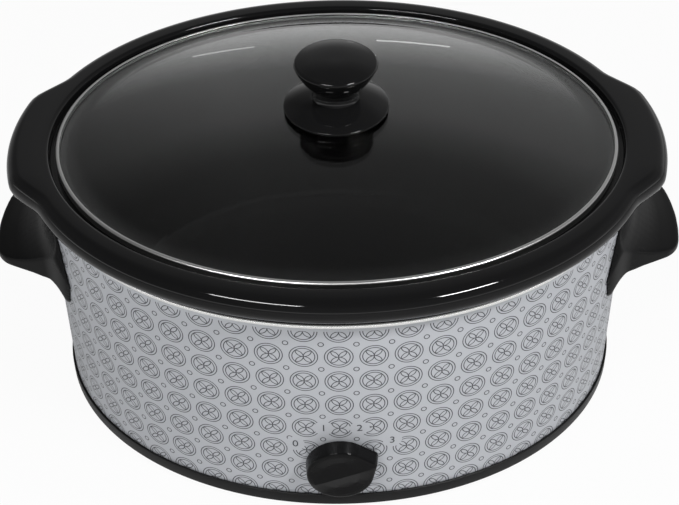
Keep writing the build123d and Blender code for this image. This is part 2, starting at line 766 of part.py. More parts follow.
# Side handles: a plate on the wrap that sweeps out into a grip
handle_inner = wrap_offset + touch_gap
grip_root_x = oval_x(handle_inner, handle_mid_half_width)
grip_tip_offset = wrap_offset + grip_reach
grip_tip_x = oval_x(grip_tip_offset, grip_tip_half_width)
grip_far_x = 2 * grip_tip_x - grip_root_x
grip_far_half_width = 2 * grip_tip_half_width - handle_mid_half_width
with BuildPart() as side_handle_right:
    with BuildLine() as rail:
        EllipticalCenterArc(
            (0, 0),
            body_half_length + handle_inner,
            body_half_width + handle_inner,
            start_angle=-handle_rail_angle,
            arc_size=2 * handle_rail_angle,
        )
    start = rail.line @ 0
    along = rail.line % 0
    with BuildSketch(Plane(start, x_dir=(along.Y, -along.X, 0), z_dir=-along)):
        with BuildLine():
            grip_top = grip_middle + grip_edge / 2
            grip_under = grip_middle - grip_edge / 2
            grip_end = grip_reach + grip_edge
            root_top = (grip_top_sweep + handle_plate, grip_top + grip_slope)
            root_under = (grip_under_sweep + handle_plate, grip_under)
            plate_top = (handle_plate / 2, handle_top)
            plate_foot = (handle_plate / 2, handle_bottom)
            Polyline(root_under, (grip_end, grip_under), (grip_end, grip_top), root_top)
            SagittaArc(root_top, plate_top, grip_top_hollow)
            Polyline(plate_top, (0, handle_top), (0, handle_bottom), plate_foot)
            SagittaArc(plate_foot, root_under, grip_under_hollow)
        make_face()
    sweep()
    with BuildSketch(Plane.XY.offset(handle_bottom)) as grip_plan:
        oval(grip_tip_offset)
        Polygon(
            (0, handle_mid_half_width),
            (grip_root_x, handle_mid_half_width),
            (grip_far_x, grip_far_half_width),
            (grip_far_x, -grip_far_half_width),
            (grip_root_x, -handle_mid_half_width),
            (0, -handle_mid_half_width),
            align=None,
            mode=Mode.INTERSECT,
        )
        corners = grip_plan.vertices()
        tips = corners.filter_by(lambda v: abs(abs(v.Y) - grip_tip_half_width) < pick_tolerance)
        fillet(tips, grip_tip_round)
    extrude(amount=handle_plate_height, mode=Mode.INTERSECT)
    with BuildSketch(Plane.YZ) as plate_face:
        Polygon(
            (handle_foot_half_width, handle_bottom),
            (handle_mid_half_width, grip_middle),
            (handle_top_half_width, handle_top),
            (-handle_top_half_width, handle_top),
            (-handle_mid_half_width, grip_middle),
            (-handle_foot_half_width, handle_bottom),
            align=None,
        )
        fillet(plate_face.vertices(), handle_corner_round)
    extrude(amount=body_half_length + 2 * grip_reach, mode=Mode.INTERSECT)
    fillet(side_handle_right.edges().filter_by(lambda edge: not on_wrap(edge)), grip_edge_round)
    for y in handle_screw_ys:
        plane = handle_screw_plane(1, y, 0)
        disc(plane, handle_screw[0] + thread_gap, sheet + handle_screw_bite, mode=Mode.SUBTRACT)
with BuildPart() as side_handle_left:
    mirror(side_handle_right.part, about=Plane.YZ)

# Steel strips behind the wrap that spread the load of the handle screws
with BuildPart() as handle_backing_right:
    backing_outer = wrap_inner - touch_gap
    backing_bottom = grip_middle - backing_height / 2
    backing_hole = 2 * backing
    oval_ring(backing_outer, backing_outer - backing, backing_bottom, backing_bottom + backing_height)
    block(
        (0, -backing_half_width, handle_bottom),
        (body_half_length, backing_half_width, handle_top),
        mode=Mode.INTERSECT,
    )
    for y in handle_screw_ys:
        plane = handle_screw_plane(1, y, backing_hole)
        disc(plane, handle_screw[0] + slip_gap, 2 * backing_hole, mode=Mode.SUBTRACT)
with BuildPart() as handle_backing_left:
    mirror(handle_backing_right.part, about=Plane.YZ)
with BuildPart() as handle_screws:
    screw_depth = touch_gap + backing + slip_gap
    for side, y in handle_screw_sites:
        plane = handle_screw_plane(side, y, screw_depth)
        screw(plane, handle_screw, screw_depth + sheet + handle_screw_bite)

# Rotary switch: housing with its bush, cover, rotor, contact tabs and the nut under the knob
switch_face = switch_front - wrap_front  # switch's front face as a distance outside the wrap
switch_rear = switch_face - switch_depth
with BuildPart() as switch_housing:
    with BuildSketch(front_plane(switch_rear)):
        RectangleRounded(switch_side, switch_side, switch_corner)
    extrude(amount=switch_depth)
    disc(front_plane(switch_face), bush_shoulder_radius, switch_stand_off - slip_gap)
    disc(front_plane(switch_face), bush_radius, bush_reach - switch_face)
    disc(front_plane(switch_rear), rotor_radius + rotor_gap, cavity_depth, mode=Mode.SUBTRACT)
    bush_front = bush_reach - switch_rear
    disc(front_plane(switch_rear), shaft_radius + shaft_gap, bush_front, mode=Mode.SUBTRACT)
with BuildPart() as switch_cover_plate:
    with BuildSketch(front_plane(switch_rear - switch_cover)):
        RectangleRounded(switch_side, switch_side, switch_corner)
    extrude(amount=switch_cover)
rotor_rear = switch_rear + cavity_depth - rotor_gap - rotor_depth
with BuildPart() as switch_rotor:
    with BuildSketch(front_plane(rotor_rear)):
        Circle(rotor_radius)
        with PolarLocations(rotor_radius, rotor_notches):
            Circle(rotor_notch_radius, mode=Mode.SUBTRACT)
        Circle(shaft_radius, mode=Mode.SUBTRACT)
    extrude(amount=rotor_depth)
with BuildPart() as switch_tabs:
    tab_y = -(switch_front - tab_inset)
    for side in (-1, 1):
        for z in (knob_axis_height - tab_half_span, knob_axis_height + tab_half_span):
            with Locations((side * (switch_side + tab_size[0]) / 2, tab_y, z)):
                Box(*tab_size)
with BuildPart() as switch_nut:
    with BuildSketch(front_plane(touch_gap)):
        RegularPolygon(nut_across_flats / 2, hex_sides, major_radius=False)
        Circle(bush_radius + thread_gap, mode=Mode.SUBTRACT)
    extrude(amount=nut_height)


def knob_plane(distance):
    """Front plane turned so that its X runs along the pointer."""
    pointer = radians(pointer_angle)
    along = (cos(pointer), 0, sin(pointer))
    return Plane((0, -(wrap_front + distance), knob_axis_height), x_dir=along, z_dir=(0, -1, 0))


def teardrop(radius, tip, tip_round):
    """Round outline drawn out to a rounded point along X."""
    reach = tip - tip_round
    lean = (radius - tip_round) / reach
    rise = sqrt(1 - lean**2)
    shoulder = (radius * lean, radius * rise)
    nose = (reach + tip_round * lean, tip_round * rise)
    with BuildLine() as outline:
        ThreePointArc(shoulder, (-radius, 0), (shoulder[0], -shoulder[1]))
        Line((shoulder[0], -shoulder[1]), (nose[0], -nose[1]))
        ThreePointArc((nose[0], -nose[1]), (tip, 0), nose)
        Line(nose, shoulder)
    make_face(outline.edges())


# Switch shaft with a flat that the knob's spring clip grips
with BuildPart() as switch_shaft:
    disc(front_plane(rotor_rear), shaft_radius, shaft_reach - rotor_rear)
    with BuildSketch(knob_plane(bush_reach)):
        with Locations((0, -shaft_radius - shaft_flat)):
            Rectangle(2 * shaft_radius, 2 * shaft_radius)
    extrude(amount=shaft_reach - bush_reach, mode=Mode.SUBTRACT)

# Control knob: leaning teardrop with a hollow on each side of its grip, and a hollow back
clip_seat = shaft_flat + clip + 2 * touch_gap
scoop_height = knob_front - sqrt(scoop_radius**2 - (scoop_middle - grip_half_width) ** 2)
with BuildPart() as control_knob:
    with BuildSketch(knob_plane(knob_gap)):
        teardrop(knob_radius, knob_tip, knob_tip_round)
    with BuildSketch(knob_plane(knob_front)):
        teardrop(knob_front_radius, knob_front_tip, knob_tip_round)
    loft(ruled=True)
    across = Plane(knob_plane(0).origin, x_dir=knob_plane(0).y_dir, z_dir=knob_plane(0).x_dir)
    with BuildSketch(across):
        for side in (-1, 1):
            with Locations((side * scoop_middle, scoop_height)):
                Circle(scoop_radius)
            with Locations((side * (scoop_middle + knob_radius / 2), knob_rim)):
                Rectangle(knob_radius, knob_front, align=(Align.CENTER, Align.MIN))
    extrude(amount=2 * knob_tip, both=True, mode=Mode.SUBTRACT)
    fillet(control_knob.faces().sort_by(Axis.Y)[0].edges(), knob_front_round)
    recess_depth = bush_reach + knob_recess_clear - knob_gap
    disc(front_plane(knob_gap), knob_recess_radius, recess_depth, mode=Mode.SUBTRACT)
    with BuildSketch(knob_plane(knob_gap)):
        Circle(shaft_radius + touch_gap)
        with Locations((0, -shaft_radius - clip_seat)):
            Rectangle(2 * knob_radius, 2 * shaft_radius, mode=Mode.SUBTRACT)
    extrude(amount=shaft_reach + touch_gap - knob_gap, mode=Mode.SUBTRACT)
with BuildPart() as knob_clip:
    with BuildSketch(knob_plane(bush_reach + knob_recess_clear)):
        with Locations((0, -shaft_flat - touch_gap - clip / 2)):
            Rectangle(clip_width, clip)
    extrude(amount=shaft_reach - bush_reach - knob_recess_clear)

# Thermal fuse in a strap under the well, terminal block on the shield
fuse_z = well_floor_z - fuse_gap - fuse_radius
fuse_x, fuse_y = fuse_place
with BuildPart() as thermal_fuse:
    disc(Plane((fuse_x, fuse_y - fuse_length / 2, fuse_z), z_dir=(0, 1, 0)), fuse_radius, fuse_length)
with BuildPart() as fuse_strap_clip:
    strap_inner = fuse_radius + touch_gap
    strap_outer = strap_inner + fuse_strap
    strap_plane = Plane((fuse_x, fuse_y - fuse_strap_width / 2, fuse_z), x_dir=(-1, 0, 0), z_dir=(0, 1, 0))
    strap_top = well_floor_z - fuse_z
    with BuildSketch(strap_plane):
        Circle(strap_outer)
        with Locations((0, strap_top)):
            Rectangle(2 * strap_outer, strap_top, align=(Align.CENTER, Align.MAX))
            Rectangle(2 * (strap_outer + fuse_strap_tab), fuse_strap, align=(Align.CENTER, Align.MAX))
        Circle(strap_inner, mode=Mode.SUBTRACT)
        with Locations((0, strap_top)):
            Rectangle(2 * strap_inner, strap_top, align=(Align.CENTER, Align.MAX), mode=Mode.SUBTRACT)
        with Locations((0, strap_top + strap_outer)):
            Rectangle(2 * (strap_outer + fuse_strap_tab), 2 * strap_outer, mode=Mode.SUBTRACT)
    extrude(amount=fuse_strap_width)
block_y = body_half_width - block_inset
sleeve_z = shield_top + block_size[2] / 2
sleeve_y = block_y - block_size[1] / 2
sleeve_planes = [
    Plane((x, sleeve_y, sleeve_z), z_dir=(0, 1, 0)) for x in (-sleeve_half_span, sleeve_half_span)
]
with BuildPart() as terminal_block:
    with BuildSketch(Plane.XY.offset(shield_top)):
        with Locations((0, block_y)):
            RectangleRounded(block_size[0], block_size[1], block_edge_round)
            Circle(block_screw[0] + slip_gap, mode=Mode.SUBTRACT)
    extrude(amount=block_size[2])
    for plane in sleeve_planes:
        disc(plane, sleeve_radius + touch_gap, block_size[1], mode=Mode.SUBTRACT)
with BuildPart() as terminal_sleeves:
    for plane in sleeve_planes:
        disc(plane, sleeve_radius, block_size[1])
with BuildPart() as terminal_block_screw:
    block_top = shield_top + block_size[2]
    screw(Plane((0, block_y, block_top), z_dir=(0, 0, -1)), block_screw, block_size[2])

# Inner wires
tab_end = switch_side / 2 + tab_size[0] + wire_gap
wire_turn = tab_end + 2 * wire_bend
upper_tab_z = knob_axis_height + tab_half_span
lower_tab_z = knob_axis_height - tab_half_span
stud_side = front_stud_half_span + stud_radius + wire_gap
wire_high = wire(
    [
        (tab_end, tab_y, upper_tab_z),
        (wire_turn, tab_y, upper_tab_z),
        (wire_turn, tab_y, stud_z),
        (stud_side, tab_y, stud_z),
    ]
)
wire_low = wire(
    [
        (-tab_end, tab_y, upper_tab_z),
        (-wire_turn, tab_y, upper_tab_z),
        (-wire_turn, tab_y, stud_z),
        (-stud_side, tab_y, stud_z),
    ]
)
wire_fused = wire(
    [
        (fuse_x, fuse_y - fuse_length / 2 - wire_gap, fuse_z),
        (fuse_x, tab_y, fuse_z),
        (fuse_x, tab_y, lower_tab_z),
        (-tab_end, tab_y, lower_tab_z),
    ]
)
block_front = block_y - block_size[1] / 2 - wire_gap
wire_supply = wire(
    [
        (-sleeve_half_span, block_front, sleeve_z),
        (-sleeve_half_span, block_front - supply_run, sleeve_z),
        (fuse_x, fuse_y + fuse_lead, fuse_z),
        (fuse_x, fuse_y + fuse_length / 2 + wire_gap, fuse_z),
    ]
)
return_y = back_stud_y + stud_length / 2
block_rear = block_y + block_size[1] / 2 + wire_gap
wire_return = wire(
    [
        (back_stud_offset, return_y, stud_z - stud_radius - wire_gap),
        (back_stud_offset, return_y, sleeve_z),
        (sleeve_half_span, (return_y + block_rear) / 2, sleeve_z),
        (sleeve_half_span, block_rear, sleeve_z),
    ]
)

# Cord gland in the wrap's back, empty
with BuildPart() as cord_gland:
    disc(back_plane(-sheet - gland_inner_reach), gland_neck, gland_inner_reach + sheet + touch_gap)
    barb_depth = gland_inner_reach / 2
    disc(back_plane(-sheet - gland_barb - barb_depth), gland_neck + gland_barb, barb_depth)
    disc(back_plane(touch_gap), gland_flange, gland_flange_depth)
    with BuildSketch(back_plane(gland_flange_depth)):
        Circle(gland_neck + gland_barb)
    with BuildSketch(back_plane(gland_reach)):
        Circle(gland_nose)
    loft(ruled=True)
    gland_end = sheet + gland_inner_reach
    disc(back_plane(-gland_end), gland_mouth, gland_end + gland_mouth_reach, mode=Mode.SUBTRACT)
    disc(back_plane(0), gland_bore, gland_reach, mode=Mode.SUBTRACT)

pieces = {
    "lid_glass": lid_glass,
    "lid_rim_band": lid_rim_band,
    "lid_knob": lid_knob,
    "lid_knob_skirt": lid_knob_skirt,
    "lid_knob_insert": lid_knob_insert,
    "lid_knob_seal": lid_knob_seal,
    "lid_under_seal": lid_under_seal,
    "lid_washer": lid_washer,
    "lid_knob_screw": lid_knob_screw,
    "crock": crock,
    "outer_wrap": outer_wrap,
    "heating_well": heating_well,
    "heater_band": heater_band,
    "heater_clamp_bolt": heater_clamp_bolt,
    "heater_clamp_nut": heater_clamp_nut,
    "heater_studs": heater_studs,
    "insulation_wrap": insulation_wrap,
    "heat_shield": heat_shield,
    "well_posts": well_posts,
    "base_tray": base_tray,
    "base_screws": base_screws,
    "side_handle_left": side_handle_left,
    "side_handle_right": side_handle_right,
    "handle_backing_left": handle_backing_left,
    "handle_backing_right": handle_backing_right,
    "handle_screws": handle_screws,
    "control_knob": control_knob,
    "knob_clip": knob_clip,
    "switch_shaft": switch_shaft,
    "switch_rotor": switch_rotor,
    "switch_housing": switch_housing,
    "switch_cover_plate": switch_cover_plate,
    "switch_tabs": switch_tabs,
    "switch_nut": switch_nut,
    "thermal_fuse": thermal_fuse,
    "fuse_strap_clip": fuse_strap_clip,
    "terminal_block": terminal_block,
    "terminal_sleeves": terminal_sleeves,
    "terminal_block_screw": terminal_block_screw,
    "wire_high": wire_high,
    "wire_low": wire_low,
    "wire_fused": wire_fused,
    "wire_supply": wire_supply,
    "wire_return": wire_return,
    "cord_gland": cord_gland,
}
pieces.update(feet)
for name, piece in pieces.items():
    piece.part.label = name
    export_step(piece.part, f"parts/{name}.step")
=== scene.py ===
"""Looks of an oval slow cooker, laid out as an add-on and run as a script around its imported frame."""

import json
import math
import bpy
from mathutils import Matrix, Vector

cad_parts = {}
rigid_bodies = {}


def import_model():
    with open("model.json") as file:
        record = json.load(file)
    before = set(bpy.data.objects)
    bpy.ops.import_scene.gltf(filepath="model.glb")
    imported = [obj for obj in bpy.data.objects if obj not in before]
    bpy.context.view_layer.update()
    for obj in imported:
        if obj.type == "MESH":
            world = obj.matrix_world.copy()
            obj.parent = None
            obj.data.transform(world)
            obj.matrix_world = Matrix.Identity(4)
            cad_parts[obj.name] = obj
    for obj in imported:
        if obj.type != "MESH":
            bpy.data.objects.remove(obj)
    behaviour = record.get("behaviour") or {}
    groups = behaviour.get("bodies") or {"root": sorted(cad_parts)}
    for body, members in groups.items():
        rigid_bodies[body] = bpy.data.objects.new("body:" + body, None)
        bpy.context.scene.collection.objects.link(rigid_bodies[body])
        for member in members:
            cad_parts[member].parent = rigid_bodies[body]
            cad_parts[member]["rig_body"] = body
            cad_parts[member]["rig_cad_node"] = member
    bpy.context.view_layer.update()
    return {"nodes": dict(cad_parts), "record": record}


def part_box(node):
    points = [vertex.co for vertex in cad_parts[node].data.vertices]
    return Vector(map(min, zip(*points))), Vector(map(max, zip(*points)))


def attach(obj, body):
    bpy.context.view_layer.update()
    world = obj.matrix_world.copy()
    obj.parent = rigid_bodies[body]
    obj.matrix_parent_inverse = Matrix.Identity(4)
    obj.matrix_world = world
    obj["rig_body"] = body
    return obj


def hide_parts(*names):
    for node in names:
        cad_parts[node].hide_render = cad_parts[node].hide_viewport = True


bl_info = {
    "name": "Oval Slow Cooker",
    "version": (1, 0, 0),
    "blender": (4, 5, 0),
    "location": "View3D > Sidebar > Cooker",
    "description": "Models and finishes the visible pieces of an oval slow cooker on its CAD frame",
    "category": "Object",
}

import bpy
from bpy.props import FloatProperty, FloatVectorProperty, IntProperty, PointerProperty
from mathutils import Matrix, Quaternion, Vector

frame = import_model()

MM = 0.001
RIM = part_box("heating_well")[1]  # half length, half width and top of the rolled rim
CROCK_LOW, CROCK_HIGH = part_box("crock")
BAND_LOW, BAND_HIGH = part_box("lid_rim_band")
GLASS_LOW, GLASS_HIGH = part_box("lid_glass")
SKIRT_LOW, SKIRT_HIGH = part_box("lid_knob_skirt")
KNOB_LOW, KNOB_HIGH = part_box("lid_knob")
WRAP_LOW, WRAP_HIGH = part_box("outer_wrap")
WELL_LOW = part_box("heating_well")[0]
CONTROL_LOW, CONTROL_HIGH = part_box("control_knob")
ARC_STEP = math.radians(11)  # turn between the loops of a rounding
SMOOTH_ANGLE = math.radians(42)  # edges that turn further stay sharp
SMOOTH_FACTOR = 0.5  # how far a point moves to the middle of its neighbours in one pass
MERGE_GAP = 1e-6  # points closer than this are joined
BLACK_GLOSS = 0.19  # specular level of the black glaze and plastics
DEEP_BLACK_GLOSS = 0.1  # the same for the control knob and the side handles
ROSETTE_INNER = 0.8  # a rosette's inner ring, as a share of its outer one
ROSETTE_PETAL = 0.7072  # circle that a petal is drawn with, as a share of the inner ring
ROSETTE_SMALL = 0.19  # ring between four rosettes, as a share of their outer ring
INK_FADE = (0.35, 0.65)  # where a line's ink starts and stops fading, as shares of its width
NUMBER_CLEARING = 0.75  # unprinted circle round a dial number, as a share of the number's height
DIAL_PLACES = (  # along the wrap and up, for each number
    (-26.2 * MM, 55.4 * MM),
    (-9.4 * MM, 70.0 * MM),
    (11.5 * MM, 69.7 * MM),
    (30.7 * MM, 57.1 * MM),
)


class CookerSizes(bpy.types.PropertyGroup):
    """Sizes of the finish that a user would change."""

    loop_points: IntProperty(
        name="Loop points", description="Points round each oval loop", default=224, min=32
    )
    print_pitch: FloatProperty(
        name="Print pitch", description="From one rosette to the next", default=19.5 * MM, unit="LENGTH"
    )
    print_ring: FloatProperty(
        name="Rosette radius", description="Middle of a rosette's ring", default=7.9 * MM, unit="LENGTH"
    )
    print_line: FloatProperty(
        name="Print line", description="Width of the printed lines", default=0.55 * MM, unit="LENGTH"
    )
    plain_strip: FloatProperty(
        name="Plain strip",
        description="Unprinted strip under the rolled rim",
        default=3.6 * MM,
        unit="LENGTH",
    )
    number_height: FloatProperty(
        name="Number height", description="Size of the dial's numbers", default=7.6 * MM, unit="LENGTH"
    )


class CookerColours(bpy.types.PropertyGroup):
    """Colours of the finish that a user would change."""

    wrap_silver: FloatVectorProperty(
        name="Wrap silver", description="Paint of the wrap", subtype="COLOR", default=(0.49, 0.505, 0.535)
    )
    print_grey: FloatVectorProperty(
        name="Print grey",
        description="Ink of the rosettes and numbers",
        subtype="COLOR",
        default=(0.045, 0.047, 0.055),
    )
    glaze_black: FloatVectorProperty(
        name="Glaze black", description="Glaze of the crock", subtype="COLOR", default=(0.005, 0.005, 0.0052)
    )
    plastic_black: FloatVectorProperty(
        name="Plastic black",
        description="Knobs, handles and base tray",
        subtype="COLOR",
        default=(0.005, 0.005, 0.0052),
    )
    steel: FloatVectorProperty(
        name="Steel", description="Lid band", subtype="COLOR", default=(0.66, 0.66, 0.655)
    )
    rim_white: FloatVectorProperty(
        name="Rim white", description="Rolled rim and well", subtype="COLOR", default=(0.94, 0.94, 0.93)
    )
    glass_tint: FloatVectorProperty(
        name="Glass tint",
        description="Colour of the lid's glass",
        subtype="COLOR",
        default=(0.93, 0.95, 0.945),
    )


class CookerStage(bpy.types.PropertyGroup):
    """Light, floor and camera."""

    floor_colour: FloatVectorProperty(
        name="Floor", description="Colour of the floor", subtype="COLOR", default=(0.5, 0.5, 0.5)
    )
    left_light: FloatProperty(
        name="Left light", description="Power of the left strip", default=13.0, unit="POWER"
    )
    right_light: FloatProperty(
        name="Right light", description="Power of the right strip", default=20.0, unit="POWER"
    )
    back_light: FloatProperty(
        name="Back light",
        description="Power of the left one of the thin strips behind",
        default=0.008,
        unit="POWER",
    )
    lens: FloatProperty(
        name="Lens", description="Focal length on a 36 mm wide sensor, in millimetres", default=77.33
    )


def sizes():
    """The size settings of the open scene."""
    return bpy.context.scene.cooker_sizes


def colours():
    """The colour settings of the open scene."""
    return bpy.context.scene.cooker_colours


def bowed(start, end, rise, steps=12):
    """Points of an arc from start to end that stands off its chord by rise, on the right of its way."""
    start, end = Vector(start), Vector(end)
    chord = end - start
    along = chord.normalized()
    side = Vector((along.y, -along.x)) * math.copysign(1, rise)
    half_turn = 2 * math.atan(2 * abs(rise) / chord.length)
    radius = chord.length / 2 / math.sin(half_turn)
    points = []
    for step in range(steps + 1):
        turn = half_turn * (2 * step / steps - 1)
        height = radius * (math.cos(turn) - math.cos(half_turn))
        points.append((start + end) / 2 + along * radius * math.sin(turn) + side * height)
    return points


def eased(low, high, value):
    """Smooth share from 0 at low to 1 at high."""
    share = min(1, max(0, (value - low) / (high - low)))
    return share * share * (3 - 2 * share)


def rounded(corners, closed=False):
    """Profile points through corners (across, up, radius), each turned on its own radius."""
    points = []
    count = len(corners)
    for index, (across, up, radius) in enumerate(corners):
        here = Vector((across, up))
        if radius == 0:
            points.append(here)
            continue
        before = (Vector(corners[index - 1][:2]) - here).normalized()
        after = (Vector(corners[(index + 1) % count][:2]) - here).normalized()
        half = before.angle(after) / 2
        centre = here + (before + after).normalized() * radius / math.sin(half)
        spoke = here + before * radius / math.tan(half) - centre
        turn = math.copysign(math.pi - 2 * half, after.x * before.y - after.y * before.x)
        steps = max(2, math.ceil(abs(turn) / ARC_STEP))
        points += [centre + Matrix.Rotation(turn * step / steps, 2) @ spoke for step in range(steps + 1)]
    if closed:
        points.append(points[0].copy())
    return points


def oval_loops(profile):
    """Loops of an oval piece, from a profile of distance outside the rolled rim and height."""
    return [(RIM.x + across, RIM.y + across, up) for across, up in profile]


def round_loops(profile):
    """Loops of a round piece on the middle axis, from a profile of radius and height."""
    return [(radius, radius, up) for radius, up in profile]


def start_clean():
    """Leaves edit mode and deselects all, so that an operator touches only the new piece."""
    if bpy.context.object and bpy.context.object.mode != "OBJECT":
        bpy.ops.object.mode_set(mode="OBJECT")
    bpy.ops.object.select_all(action="DESELECT")


def loop_piece(name, loops, filled=False):
    """Piece drawn out from one circle, whose edge is extruded and scaled from loop to loop."""
    start_clean()
    fill = "NGON" if filled else "NOTHING"
    bpy.ops.mesh.primitive_circle_add(vertices=sizes().loop_points, radius=1, fill_type=fill)
    piece = bpy.context.object
    piece.name = name
    piece.data.name = name
    bpy.ops.object.mode_set(mode="EDIT")
    bpy.ops.mesh.select_all(action="SELECT")
    length, width, height = loops[0]
    bpy.ops.transform.resize(value=(length, width, 1), center_override=(0, 0, 0))
    bpy.ops.transform.translate(value=(0, 0, height))
    for new_length, new_width, new_height in loops[1:]:
        bpy.ops.mesh.extrude_edges_move(TRANSFORM_OT_translate={"value": (0, 0, new_height - height)})
        bpy.ops.transform.resize(value=(new_length / length, new_width / width, 1), center_override=(0, 0, 0))
        length, width, height = new_length, new_width, new_height
    if filled:
        bpy.ops.mesh.edge_face_add()
    bpy.ops.mesh.select_all(action="SELECT")
    bpy.ops.mesh.remove_doubles(threshold=MERGE_GAP)
    bpy.ops.mesh.normals_make_consistent(inside=False)
    bpy.ops.object.mode_set(mode="OBJECT")
    bpy.ops.object.shade_smooth_by_angle(angle=SMOOTH_ANGLE)
    return piece


def smoothed_copy(node, name):
    """Copy of a CAD node with its triangles joined, so that its roundings shade smoothly."""
    start_clean()
    source = frame["nodes"][node]
    source.select_set(True)
    bpy.context.view_layer.objects.active = source
    bpy.ops.object.duplicate()
    piece = bpy.context.object
    piece.name = name
    piece.data.name = name
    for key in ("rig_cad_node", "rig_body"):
        if key in piece:
            del piece[key]
    bpy.ops.object.parent_clear(type="CLEAR")
    bpy.ops.object.mode_set(mode="EDIT")
    bpy.ops.mesh.select_all(action="SELECT")
    bpy.ops.mesh.remove_doubles(threshold=MERGE_GAP)
    bpy.ops.mesh.customdata_custom_splitnormals_clear()
    bpy.ops.object.mode_set(mode="OBJECT")
    bpy.ops.object.shade_smooth_by_angle(angle=SMOOTH_ANGLE)
    return piece


def soften(piece, grain, passes):
    """Rebuilds a copied piece from even faces and eases its edges, as a mould leaves them."""
    bpy.ops.object.modifier_add(type="REMESH")
    remesh = piece.modifiers[-1]
    remesh.mode = "VOXEL"
    remesh.voxel_size = grain
    bpy.ops.object.modifier_apply(modifier=remesh.name)
    bpy.ops.object.modifier_add(type="SMOOTH")
    smooth = piece.modifiers[-1]
    smooth.factor = SMOOTH_FACTOR
    smooth.iterations = passes
    bpy.ops.object.modifier_apply(modifier=smooth.name)
    bpy.ops.object.shade_smooth()


def settle(piece, material, body, slot, *nodes):
    """Gives a finished piece its material and body and hides the CAD nodes that it stands for; the record
    slot is not used.
    """
    piece.data.materials.clear()
    piece.data.materials.append(material)
    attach(piece, body)
    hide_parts(*nodes)


def math_node(tree, operation, *values):
    """Math node whose inputs are sockets or plain numbers, as its output socket."""
    node = tree.nodes.new("ShaderNodeMath")
    node.operation = operation
    for socket, value in zip(node.inputs, values):
        if isinstance(value, bpy.types.NodeSocket):
            tree.links.new(value, socket)
        else:
            socket.default_value = value
    return node.outputs[0]


def new_group(name, inputs, outputs):
    """Empty shader node group with named float or vector sockets, with its input and output nodes."""
    group = bpy.data.node_groups.new(name, "ShaderNodeTree")
    for socket_name, kind, value in inputs:
        socket = group.interface.new_socket(socket_name, in_out="INPUT", socket_type=kind)
        if value is not None:
            socket.default_value = value
    for socket_name, kind in outputs:
        group.interface.new_socket(socket_name, in_out="OUTPUT", socket_type=kind)
    return group, group.nodes.new("NodeGroupInput").outputs, group.nodes.new("NodeGroupOutput").inputs


def surface_group():
    """Uneven gloss and fine relief, shared by the glazed, moulded and metal finishes."""
    if "Surface unevenness" in bpy.data.node_groups:
        return bpy.data.node_groups["Surface unevenness"]
    inputs = [
        ("Vector", "NodeSocketVector", None),
        ("Smear Scale", "NodeSocketFloat", 22.0),
        ("Grain Scale", "NodeSocketFloat", 900.0),
        ("Roughness", "NodeSocketFloat", 0.1),
        ("Spread", "NodeSocketFloat", 0.03),
    ]
    group, given, out = new_group(
        "Surface unevenness", inputs, [("Roughness", "NodeSocketFloat"), ("Height", "NodeSocketFloat")]
    )
    smear = group.nodes.new("ShaderNodeTexNoise")
    smear.inputs["Detail"].default_value = 3
    grain = group.nodes.new("ShaderNodeTexNoise")
    grain.inputs["Detail"].default_value = 2
    for noise, scale in ((smear, "Smear Scale"), (grain, "Grain Scale")):
        group.links.new(given["Vector"], noise.inputs["Vector"])
        group.links.new(given[scale], noise.inputs["Scale"])
    noise_middle = 0.5
    swing = math_node(group, "SUBTRACT", smear.outputs["Fac"], noise_middle)
    swing = math_node(group, "MULTIPLY", swing, given["Spread"])
    swing = math_node(group, "MULTIPLY", swing, 1 / noise_middle)
    group.links.new(math_node(group, "ADD", given["Roughness"], swing), out["Roughness"])
    group.links.new(grain.outputs["Fac"], out["Height"])
    return group


